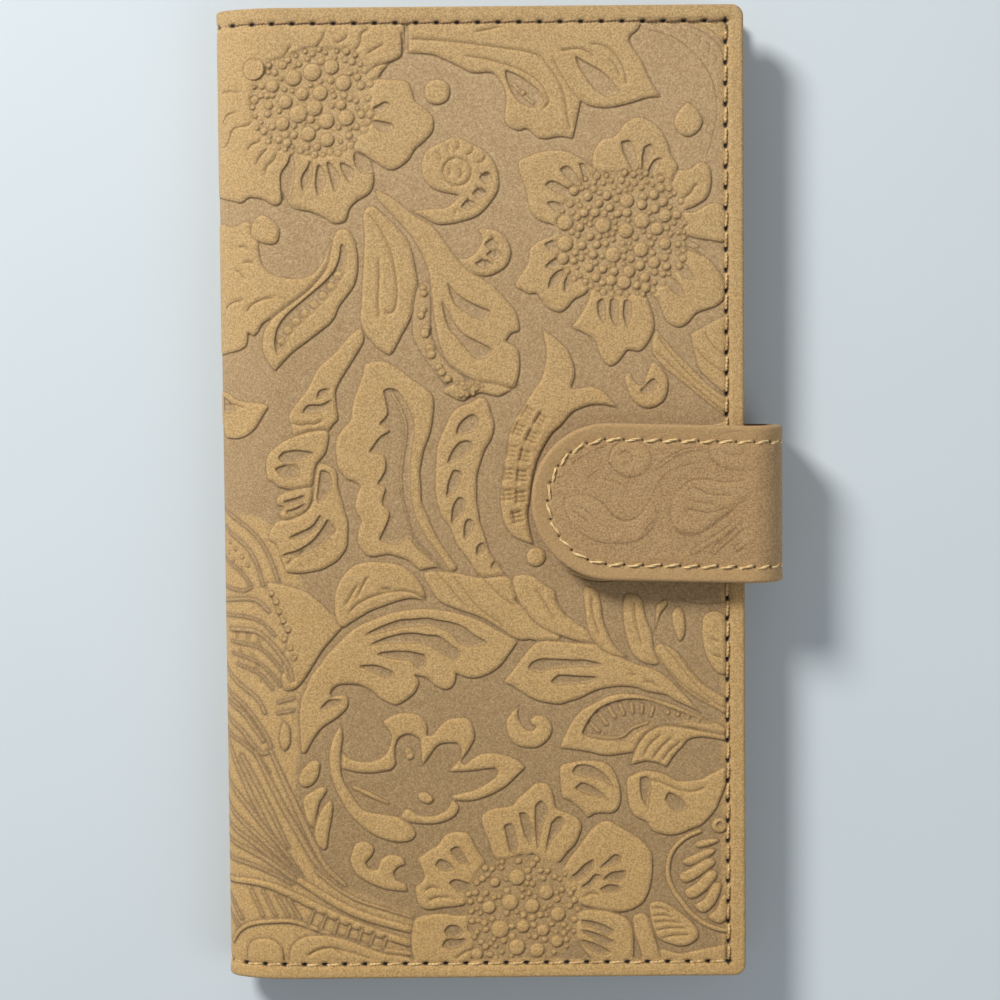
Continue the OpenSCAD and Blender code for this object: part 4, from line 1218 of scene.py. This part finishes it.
def panel(name, x0, y0, z_low, z_high, outer_up, body):
    """A pocket panel: its mouth is at x0, creased and slightly rolled; the other edges lie in the seam."""
    x1, y1 = FORE_X, HALF_L
    near = np.array([0.0, 0.06, 0.16, 0.3, 0.5])
    xs = np.concatenate([x0 + near, steps(x0 + 0.8, x0 + 3.0, 0.15), steps(x0 + 3.4, x1 - 0.6, 1.2),
                         x1 - near[::-1]])
    mid_y, reach = (y0 + y1) / 2, (y1 - y0) / 2
    vs = np.concatenate([-reach + near, steps(-reach + 0.9, reach - 0.9, 1.5), reach - near[::-1]]) / reach
    x = np.repeat(xs[:, None], len(vs), 1)
    limit = half_length(FORE_X - x)
    y = np.clip(mid_y + reach * vs, -limit, limit)
    b = np.minimum(np.minimum(x - x0, x1 - x), np.minimum(y - y0, y1 - y))
    crease = CREASE_DEPTH * np.exp(-((x - x0 - CREASE_AT) / CREASE_W) ** 2)
    drop = shoulder_drop(np.clip(b, 0, None), PANEL_ROUND) + crease
    z, under = (z_high - drop, z_low) if outer_up else (z_low + drop, z_high)
    sides = [np.stack([xs, edge, np.full(len(xs), under)], -1) for edge in (y[:, 0], y[:, -1])]
    obj = slab(name, np.stack([x, y, z], -1), sides, not outer_up, {"rim": (np.minimum(b, FAR), 0)})
    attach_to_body(obj, body)
    return obj


PANEL_FACE = COVER_T - WALL_T
panels = [
    panel("pocket_checkbook", MOUTH, -HALF_L, WALL_T, WALL_T + PANEL_T, True, "back"),
    panel("pocket_register", MOUTH, -HALF_L, PANEL_FACE - PANEL_T, PANEL_FACE, False, "front"),
]
for i in range(3):
    z = PANEL_FACE - PANEL_T - i * SLOT_T
    panels.append(panel("slot_" + str(i + 1), MOUTH + CARD_INSET + i * CARD_STEP, HALF_L - CARD_W,
                        z - SLOT_T, z, False, "front"))
for obj, node in zip(panels, ("checkbook_pocket", "register_pocket", "card_slot_upper", "card_slot_middle",
                              "card_slot_lower")):
    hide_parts(node)


# Tab
TAB_INSET = 2.7
TAB_PITCH = 3.1
TAB_LEATHER_T = 1.4
TAB_RELIEF = 0.17
TAB_GROOVE_DEPTH, TAB_GROOVE_W = 0.1, 0.7
TAB_HOLE_DEPTH, TAB_HOLE_R = 0.4, 0.26
UNDER_HOLE_DEPTH, UNDER_HOLE_R = 0.3, 0.4
TAB_ROUND, TAB_LINING_ROUND = 0.55, 0.25
TAB_STITCH_DEPTH, UNDER_STITCH_DEPTH = 0.12, TAB_T - 0.1
TAB_STITCH_LEAN, TAB_STITCH_START, TAB_STITCH_END = 0.3, 0.4, 0.2
TAB_SET, SLANT_FROM = 1.15, 18
BEND_ARC = (BEND_R + TAB_T / 2) * math.pi / 2
RISE = FLAP_MID - ROOT_MID - 2 * BEND_R
TAB_MID = BEND_X + BEND_ARC + RISE / 2
TAB_END = BEND_X + BEND_ARC + RISE + BEND_ARC
SLANT = math.tan(math.radians(1.6))
TAB_HALF_W = (TAB_W + 1.0) / 2
TIP_CENTRE = TAB_TIP_X + TAB_HALF_W


def tab_half(q):
    """Half the tab's width: its end is a half round."""
    c = np.clip(TIP_CENTRE - q, 0, TAB_HALF_W)
    return np.sqrt(np.clip(TAB_HALF_W * TAB_HALF_W - c * c, 0, None))


def tab_rim(q, y):
    """Distance from the tab's outline; y is measured from its own middle line."""
    return TAB_HALF_W - np.where(q < TIP_CENTRE, np.hypot(q - TIP_CENTRE, y), np.abs(y))


def tab_stitch_points():
    """Stitch ends on the tab's face, from one side of the root round the tip to the other."""
    r = TAB_HALF_W - TAB_INSET
    straight = TAB_END - 0.5 - TIP_CENTRE
    total = 2 * straight + math.pi * r
    n = round(total / TAB_PITCH)
    out = []
    for i in range(n + 1):
        s = total * i / n
        if s < straight:
            out.append((TIP_CENTRE + straight - s, r))
        elif s < straight + math.pi * r:
            a = (s - straight) / r
            out.append((TIP_CENTRE - r * math.sin(a), r * math.cos(a)))
        else:
            out.append((TIP_CENTRE + s - straight - math.pi * r, -r))
    return out


TAB_POINTS = tab_stitch_points()


def tab_slant(q):
    """The tab is sewn on slightly askew, so its end lies a little higher."""
    return TAB_Y + TAB_SET + (BEND_X - np.minimum(q, BEND_X) - SLANT_FROM) * SLANT


tab_map = Relief()
tab_map.draw(TAB_PLAN)
tab_map.h = smooth(tab_map.h, 4)


def tab_relief(q, y):
    """Worn-down leaves of the tab's pressing: depth from 0 to 1 and distance to an edge, in drawing units."""
    px = (q - COVER_AT_X) * UNIT + DRAW_X
    py = DRAW_Y - (y + tab_slant(q) - COVER_AT_Y) * UNIT
    inside = (px > MAP_X + 2) & (px < MAP_X + MAP_W - 2)
    fade = np.clip((MAP_X + MAP_W - 4 - px) / 18, 0, 1)
    fold = 0.5 + (0.5 - np.clip(sample(tab_map.h, px, py), 0, 1)) * fade
    line = sample(tab_map.line, px, py) + FAR * (1 - fade)
    return np.where(inside, fold, 0.5), np.where(inside, line, FAR)


def tab_skin(name, a, b, pitch, outer):
    """A stretch of the tab's leather, which carries the relief, or of its lining."""
    xs = steps(a, b, pitch)
    if a == TAB_TIP_X:
        tip = np.array([0.0, 0.01, 0.04, 0.09, 0.16, 0.26, 0.4, 0.6, 0.85])
        xs = a + np.concatenate([tip, xs[xs > a + 1.1] - a])
    edge = np.array([0.0, 0.03, 0.08, 0.15, 0.25, 0.4, 0.6])
    middle = steps(-TAB_HALF_W + 0.8, TAB_HALF_W - 0.8, pitch)
    vs = np.concatenate([-TAB_HALF_W + edge, middle, TAB_HALF_W - edge[::-1]]) / TAB_HALF_W
    q = np.repeat(xs[:, None], len(vs), 1)
    y = np.maximum(tab_half(q), 0.05) * vs
    b_in = np.clip(tab_rim(q, y), 0, None)
    line, fold = np.full(q.shape, FAR), np.full(q.shape, 0.5)
    seam = np.abs(tab_rim(q, y) - TAB_INSET)
    hole = np.full(q.shape, FAR)
    for px, py in TAB_POINTS:
        hole = np.minimum(hole, np.hypot(q - px, y - py))
    if outer:
        fold, line = tab_relief(q, y)
        calm = np.clip((b_in - 0.6) / 1.5, 0, 1)
        depth = TAB_RELIEF * fold * calm + TAB_GROOVE_DEPTH * np.exp(-(seam / TAB_GROOVE_W) ** 2)
        depth = depth + TAB_HOLE_DEPTH * np.exp(-(hole / TAB_HOLE_R) ** 2)
        depth = depth + shoulder_drop(b_in, TAB_ROUND)
    else:
        depth = TAB_T - shoulder_drop(b_in, TAB_LINING_ROUND)
        depth = depth - UNDER_HOLE_DEPTH * np.exp(-(hole / UNDER_HOLE_R) ** 2)
    return laid(name, tab_place, q, y + tab_slant(q), depth, TAB_LEATHER_T, not outer, {
        "rim": (b_in, 0), "line": (line, FAR), "hole": (hole, FAR), "tint": (1 - fold, 0.5)})


TAB_SPANS = [("flap", TAB_TIP_X, BEND_X, ("tab_flap",)),
             ("bend_top", BEND_X, TAB_MID, ("tab_flap", "tab_bend")),
             ("bend_low", TAB_MID, TAB_END, ("tab_bend", "back"))]
TAB_SKIN_PITCH = 0.22
TAB_LINING_PITCH = 0.6
tab_skins, tab_linings = [], []
for span in TAB_SPANS:
    name, a, b, bodies = span
    skin = tab_skin("tab_leather_" + name, a, b, TAB_SKIN_PITCH, True)
    under = tab_skin("tab_lining_" + name, a, b, TAB_LINING_PITCH, False)
    tab_skins.append(attach(skin, tab_place, span))
    tab_linings.append(attach(under, tab_place, span))


def tongue():
    """The thinned end of the tab's leather, sewn in between the back's layers."""
    mid = TAB_Y + 0.8
    verts = [(x, y, z) for x in (FORE_X - TONGUE_L, BEND_X + 0.2) for y in (mid - TAB_W / 2, mid + TAB_W / 2)
             for z in (LEATHER_T, WALL_T)]
    quads = [(0, 1, 3, 2), (4, 6, 7, 5), (0, 4, 5, 1), (2, 3, 7, 6), (0, 2, 6, 4), (1, 5, 7, 3)]
    obj = make_mesh("tab_tongue", verts, quads, (), False)
    mark(obj, "rim", np.full(8, 2.0))
    bevel = obj.modifiers.new("Edges", "BEVEL")
    bevel.width = 0.15 * MM
    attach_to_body(obj, "back")
    return obj


tongue_piece = tongue()
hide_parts("tab_flap_leather")
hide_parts("tab_bend_leather")
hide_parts("tab_root_leather")
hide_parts("tab_flap_lining")
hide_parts("tab_bend_lining")
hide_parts("tab_root_lining")


def tab_stitches(face, a, b):
    """Ends and normals of the tab's stitches on one stretch, each set a little aslant."""
    ends, normals = [], []
    away, depth = (1, TAB_STITCH_DEPTH) if face == "outer" else (-1, UNDER_STITCH_DEPTH)
    for (q0, y0), (q1, y1) in zip(TAB_POINTS[:-1], TAB_POINTS[1:]):
        if not a <= (q0 + q1) / 2 < b:
            continue
        run = Vector((q1 - q0, y1 - y0, 0)).normalized()
        out = Vector((run.y, -run.x, 0)) * TAB_STITCH_LEAN
        pa = Vector((q0, y0, 0)) + run * TAB_STITCH_START + out
        pb = Vector((q1, y1, 0)) - run * TAB_STITCH_END - out
        ca, cb = tab_place(pa.x), tab_place(pb.x)
        ends.append(((ca[0] - depth * ca[2], pa.y + float(tab_slant(pa.x)), ca[1] - depth * ca[3]),
                     (cb[0] - depth * cb[2], pb.y + float(tab_slant(pb.x)), cb[1] - depth * cb[3])))
        normals.append(((away * ca[2], 0, away * ca[3]), (away * cb[2], 0, away * cb[3])))
    return ends, normals


tab_threads = []
for span in TAB_SPANS:
    for face in ("outer", "inner"):
        ends, normals = tab_stitches(face, span[1], span[2])
        if ends:
            obj = thread("tab_thread_" + face + "_" + span[0], ends, normals, *TAB_THREAD)
            tab_threads.append(attach(obj, tab_place, span))


# Materials
def srgb(r, g, b):
    """A colour given as 0 to 255 on screen, as linear values."""
    out = []
    for v in (r / 255, g / 255, b / 255):
        out.append(v / 12.92 if v <= 0.04045 else ((v + 0.055) / 1.055) ** 2.4)
    return (*out, 1.0)


class Tree:
    """Short names for building a material's nodes."""

    def __init__(self, name):
        self.mat = bpy.data.materials.new(name)
        self.mat.use_nodes = True
        self.nodes = self.mat.node_tree.nodes
        self.links = self.mat.node_tree.links
        self.nodes.clear()
        out = self.nodes.new("ShaderNodeOutputMaterial")
        self.bsdf = self.nodes.new("ShaderNodeBsdfPrincipled")
        self.links.new(self.bsdf.outputs[0], out.inputs[0])
        self.where = self.nodes.new("ShaderNodeTexCoord").outputs["Object"]

    def feed(self, node, **values):
        """Links or sets a node's inputs by name."""
        for key, value in values.items():
            socket = node.inputs[key.replace("_", " ")]
            if isinstance(value, bpy.types.NodeSocket):
                self.links.new(value, socket)
            else:
                socket.default_value = value
        return node

    def texture(self, kind, scale, stretch=(1, 1, 1), offset=(0, 0, 0)):
        """A texture with features of about 1/scale mm; stretch squeezes it along an axis."""
        m = self.feed(self.nodes.new("ShaderNodeMapping"), Vector=self.where, Location=offset,
                      Scale=tuple(1000 * v for v in stretch))
        return self.feed(self.nodes.new(kind), Vector=m.outputs[0], Scale=scale)

    def noise(self, scale, detail=3.0, rough=0.55, **how):
        n = self.texture("ShaderNodeTexNoise", scale, **how)
        return self.feed(n, Detail=detail, Roughness=rough).outputs["Fac"]

    def cells(self, scale):
        """Cell pattern of leather grain."""
        n = self.texture("ShaderNodeTexVoronoi", scale)
        n.feature = "SMOOTH_F1"
        return n.outputs["Distance"]

    def where_y(self):
        return self.feed(self.nodes.new("ShaderNodeSeparateXYZ"), Vector=self.where).outputs["Y"]

    def read(self, name):
        """A mark stored on the mesh."""
        a = self.nodes.new("ShaderNodeAttribute")
        a.attribute_name = name
        return a.outputs["Fac"]

    def ramp(self, value, lo, hi, out_lo=0.0, out_hi=1.0, kind="SMOOTHSTEP"):
        n = self.nodes.new("ShaderNodeMapRange")
        n.interpolation_type = kind
        return self.feed(n, Value=value, From_Min=lo, From_Max=hi, To_Min=out_lo, To_Max=out_hi).outputs[0]

    def times(self, a, b):
        n = self.nodes.new("ShaderNodeMath")
        n.operation = "MULTIPLY"
        self.links.new(a, n.inputs[0])
        self.links.new(b, n.inputs[1])
        return n.outputs[0]

    def mix(self, fac, a, b, kind="MIX"):
        n = self.nodes.new("ShaderNodeMix")
        n.data_type = "RGBA"
        n.blend_type = kind
        n.clamp_factor = True
        return self.feed(n, Factor=fac, A=a, B=b).outputs["Result"]

    def bump(self, height, strength, distance_mm, **normal):
        n = self.nodes.new("ShaderNodeBump")
        return self.feed(n, Strength=strength, Distance=distance_mm * MM, Height=height, **normal).outputs[0]

    def finish(self, colour, rough, **fixed):
        self.feed(self.bsdf, Base_Color=colour, Roughness=rough, **fixed)
        return self.mat


NUBUCK = {"Sheen_Weight": 0.12, "Sheen_Roughness": 0.6, "Specular_IOR_Level": 0.28}


def nap(t, strength):
    """The fine brushed nap of nubuck, as a bump."""
    soft = t.bump(t.noise(1.1, 3.0, 0.5, offset=(3, 1, 2)), 0.3, 0.12)
    return t.bump(t.noise(3.1, 4.0, 0.7), strength, 0.18, Normal=soft)


def tooled_leather():
    """Brushed leather: pale on the raised forms, greyer on the ground, dark in the cuts with a patina and
    painted shadow, and with painted shade in the stitch holes.
    """
    t = Tree("tooled_nubuck")
    tint = t.read("tint")
    raised = t.mix(t.noise(0.11), srgb(211, 177, 123), srgb(199, 163, 109))
    ground = t.mix(t.noise(0.09, offset=(9, 4, 0)), srgb(190, 161, 122), srgb(177, 148, 109))
    colour = t.mix(t.ramp(tint, 0.1, 0.75), ground, raised)
    mottle = t.noise(0.55, 4.0, 0.6, offset=(2, 7, 5))
    colour = t.mix(t.ramp(mottle, 0.35, 0.7, 0.0, 0.22), colour, srgb(204, 176, 134))
    fine = t.noise(3.1, 4.0, 0.7, offset=(5, 5, 5))
    colour = t.mix(t.ramp(fine, 0.42, 0.58, 0.52, 0.0), colour, srgb(138, 106, 66))
    speck = t.noise(3.6, 3.0, 0.7, offset=(8, 2, 6))
    colour = t.mix(t.ramp(speck, 0.52, 0.66, 0.0, 0.5), colour, srgb(230, 202, 152))
    lower = t.ramp(t.where_y(), 60 * MM, -70 * MM, 0.0, 1.0, "LINEAR")
    brown = t.mix(t.ramp(tint, 0.1, 0.75), (0.78, 0.74, 0.65, 1), (1.03, 0.98, 0.85, 1))
    colour = t.mix(lower, colour, t.mix(1.0, colour, brown, "MULTIPLY"))
    # Painted shadow along the cuts and the edges of the forms: a patina all round, and more on the sides that
    # face away from the light.
    near = t.ramp(t.read("line"), 0.4, 1.4, 1.0, 0.0)
    patina_and_painted_shadow = t.ramp(t.read("lee"), 0.02, 0.45, 0.35, 0.85)
    colour = t.mix(t.times(near, patina_and_painted_shadow), colour, srgb(88, 64, 36))
    # Painted shade in the stitch holes.
    colour = t.mix(t.ramp(t.read("hole"), 0.22, 0.62, 1.0, 0.0), colour, srgb(34, 22, 14))
    colour = t.mix(t.ramp(t.read("rim"), 0.0, 0.9, 0.35, 0.0), colour, srgb(150, 122, 84))
    rough = t.ramp(t.noise(0.4, 2.0), 0.3, 0.7, 0.78, 0.92)
    return t.finish(colour, rough, Normal=nap(t, t.ramp(tint, 0.1, 0.8, 0.5, 1.0)), **NUBUCK)


def tab_nubuck():
    """The tab's browner leather, rubbed golden along its edge."""
    t = Tree("tab_nubuck")
    colour = t.mix(t.noise(0.1), srgb(203, 165, 116), srgb(184, 146, 98))
    mottle = t.noise(0.45, 4.0, 0.6, offset=(2, 7, 5))
    colour = t.mix(t.ramp(mottle, 0.4, 0.7, 0.0, 0.4), colour, srgb(196, 164, 120))
    fine = t.noise(3.1, 4.0, 0.7, offset=(5, 5, 5))
    colour = t.mix(t.ramp(fine, 0.42, 0.58, 0.5, 0.0), colour, srgb(116, 86, 54))
    near = t.times(t.ramp(t.read("line"), 0.2, 1.6, 0.6, 0.0), t.ramp(t.noise(0.25), 0.35, 0.6, 0.4, 1.0))
    colour = t.mix(near, colour, srgb(106, 78, 48))
    colour = t.mix(t.ramp(t.read("tint"), 0.2, 0.8, 0.12, 0.0), colour, srgb(148, 116, 78))
    speck = t.noise(3.2, 3.0, 0.7, offset=(8, 2, 6))
    colour = t.mix(t.ramp(speck, 0.5, 0.66, 0.0, 0.5), colour, srgb(216, 180, 130))
    colour = t.mix(t.ramp(t.read("rim"), 1.6, 4.2, 0.45, 0.0), colour, srgb(190, 155, 104))
    # Painted shade in the stitch holes.
    colour = t.mix(t.ramp(t.read("hole"), 0.12, 0.34, 0.9, 0.0), colour, srgb(58, 38, 22))
    normal = t.bump(t.noise(0.9, 5.0, 0.65, offset=(4, 4, 1)), 0.5, 0.3, Normal=nap(t, 1.0))
    return t.finish(colour, 0.86, Normal=normal, **NUBUCK)


def smooth_leather(name, light, dark):
    """Leather of the lining and the pockets, with fine cells and darker edges."""
    t = Tree(name)
    colour = t.mix(t.ramp(t.noise(0.05, 3.0, 0.5), 0.3, 0.7), light, dark)
    cells = t.cells(1.6)
    colour = t.mix(t.ramp(cells, 0.1, 0.6, 0.14, 0.0), colour, srgb(96, 66, 38))
    colour = t.mix(t.ramp(t.read("rim"), 0.0, 1.0, 0.3, 0.0), colour, srgb(112, 80, 46))
    normal = t.bump(t.noise(3.0, 3.0, 0.6), 0.15, 0.04, Normal=t.bump(cells, 0.15, 0.08))
    rough = t.ramp(t.noise(0.06, 2.0), 0.3, 0.7, 0.62, 0.68)
    return t.finish(colour, rough, Normal=normal, Specular_IOR_Level=0.25)


def thread_look(name, light, dark, painted_top_shade):
    """Waxed thread; the seam's thread gets painted shade along the top seam, where it lies sunk in its
    groove.
    """
    t = Tree(name)
    colour = t.mix(t.ramp(t.noise(1.3, 3.0, 0.6), 0.35, 0.65), light, dark)
    if painted_top_shade:
        # Painted shade on the thread of the top seam, which lies sunk in its groove.
        colour = t.mix(t.ramp(t.where_y(), 77.6 * MM, 78.4 * MM, 0.0, 0.85), colour, srgb(92, 56, 30))
    normal = t.bump(t.noise(7.0, 3.0, 0.6), 0.4, 0.05)
    return t.finish(colour, 0.72, Normal=normal, Sheen_Weight=0.2, Sheen_Roughness=0.5)


def metal_look(name, colour, rough):
    """Brushed metal, a little dulled."""
    t = Tree(name)
    brushed = t.noise(5.0, 2.0, 0.5, stretch=(1, 0.2, 1))
    tone = t.mix(t.ramp(t.noise(0.5), 0.3, 0.7, 0.0, 0.12), colour, srgb(150, 122, 74))
    r = t.ramp(brushed, 0.3, 0.7, rough * 0.92, rough * 1.1)
    return t.finish(tone, r, Normal=t.bump(brushed, 0.06, 0.01), Metallic=1.0)


def paint(obj, mat):
    """Gives the whole object one material."""
    slots = obj.data.materials
    if not slots:
        slots.append(mat)
    for i in range(len(slots)):
        slots[i] = mat


TOOLED = tooled_leather()
TAB_MAT = tab_nubuck()
LINING = smooth_leather("lining_leather", srgb(176, 138, 92), srgb(164, 126, 82))
POCKET = smooth_leather("pocket_leather", srgb(184, 146, 99), srgb(171, 133, 88))
GOLD_THREAD = thread_look("seam_thread", srgb(238, 208, 150), srgb(186, 148, 92), True)
CREAM_THREAD = thread_look("tab_thread", srgb(244, 216, 158), srgb(220, 186, 126), False)
BRASS = metal_look("snap_brass", srgb(244, 214, 150), 0.34)
MAGNET = metal_look("magnet_steel", srgb(150, 150, 154), 0.35)

for o in covers:
    paint(o, TOOLED)
for o in linings + tab_linings + [tongue_piece]:
    paint(o, LINING)
for o in panels:
    paint(o, POCKET)
for o in tab_skins:
    paint(o, TAB_MAT)
for o in stitches:
    paint(o, GOLD_THREAD)
for o in tab_threads:
    paint(o, CREAM_THREAD)
for node in ("snap_stud", "snap_stud_washer", "snap_socket_case", "snap_socket_plate", "snap_socket_washer"):
    paint(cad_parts[node], BRASS)
paint(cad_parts["snap_ring_magnet"], MAGNET)

# Floor, light and camera
FLOOR_REACH = 900.0
FLOOR_Z = -0.2
CAMERA_FAR = 400.0
SENSOR = 36.0
PICTURE_W = 1000
SKY = (0.93, 0.96, 1.0, 1)
SKY_STRENGTH = 0.27


def floor():
    t = Tree("pale_floor")
    colour = t.mix(t.noise(0.02, 2.0), srgb(213, 222, 227), srgb(209, 219, 224))
    corners = [(x * FLOOR_REACH, y * FLOOR_REACH, FLOOR_Z) for x, y in ((-1, -1), (1, -1), (1, 1), (-1, 1))]
    obj = make_mesh("floor", corners, [(0, 1, 2, 3)])
    paint(obj, t.finish(colour, 0.7, Specular_IOR_Level=0.2))


floor()


def lamp(name, where, size, watts, colour):
    """A round lamp that points at the cover's middle; places and sizes in mm."""
    data = bpy.data.lights.new(name, "AREA")
    data.shape = "DISK"
    data.size = size * MM
    data.energy = watts
    data.color = colour
    obj = bpy.data.objects.new(name, data)
    bpy.context.scene.collection.objects.link(obj)
    obj.location = Vector(where) * MM
    obj.rotation_euler = (-obj.location).to_track_quat("-Z", "Y").to_euler()


lamp("key", (-420, 480, 520), 230, 6.6, (1.0, 0.985, 0.96))
lamp("fill", (520, -260, 560), 700, 1.2, (0.96, 0.98, 1.0))

world = bpy.data.worlds.new("studio")
bpy.context.scene.world = world
world.use_nodes = True
world.node_tree.nodes["Background"].inputs[0].default_value = SKY
world.node_tree.nodes["Background"].inputs[1].default_value = SKY_STRENGTH

lean = math.asin(DRAW_TILT * CAMERA_FAR)
camera_data = bpy.data.cameras.new("camera")
camera_data.sensor_width = SENSOR
camera_data.lens = UNIT * CAMERA_FAR * SENSOR / PICTURE_W
camera_data.clip_start = 0.01
camera = bpy.data.objects.new("camera", camera_data)
bpy.context.scene.collection.objects.link(camera)
camera.location = Vector((COVER_AT_X, COVER_AT_Y + CAMERA_FAR * math.sin(lean),
                          COVER_T + CAMERA_FAR * math.cos(lean))) * MM
camera.rotation_euler = Matrix.Rotation(-lean, 3, "X").to_euler()
camera.rotation_euler.rotate_axis("Z", -math.atan(DRAW_TURN))
bpy.context.scene.camera = camera
bpy.context.scene.view_settings.view_transform = "Standard"
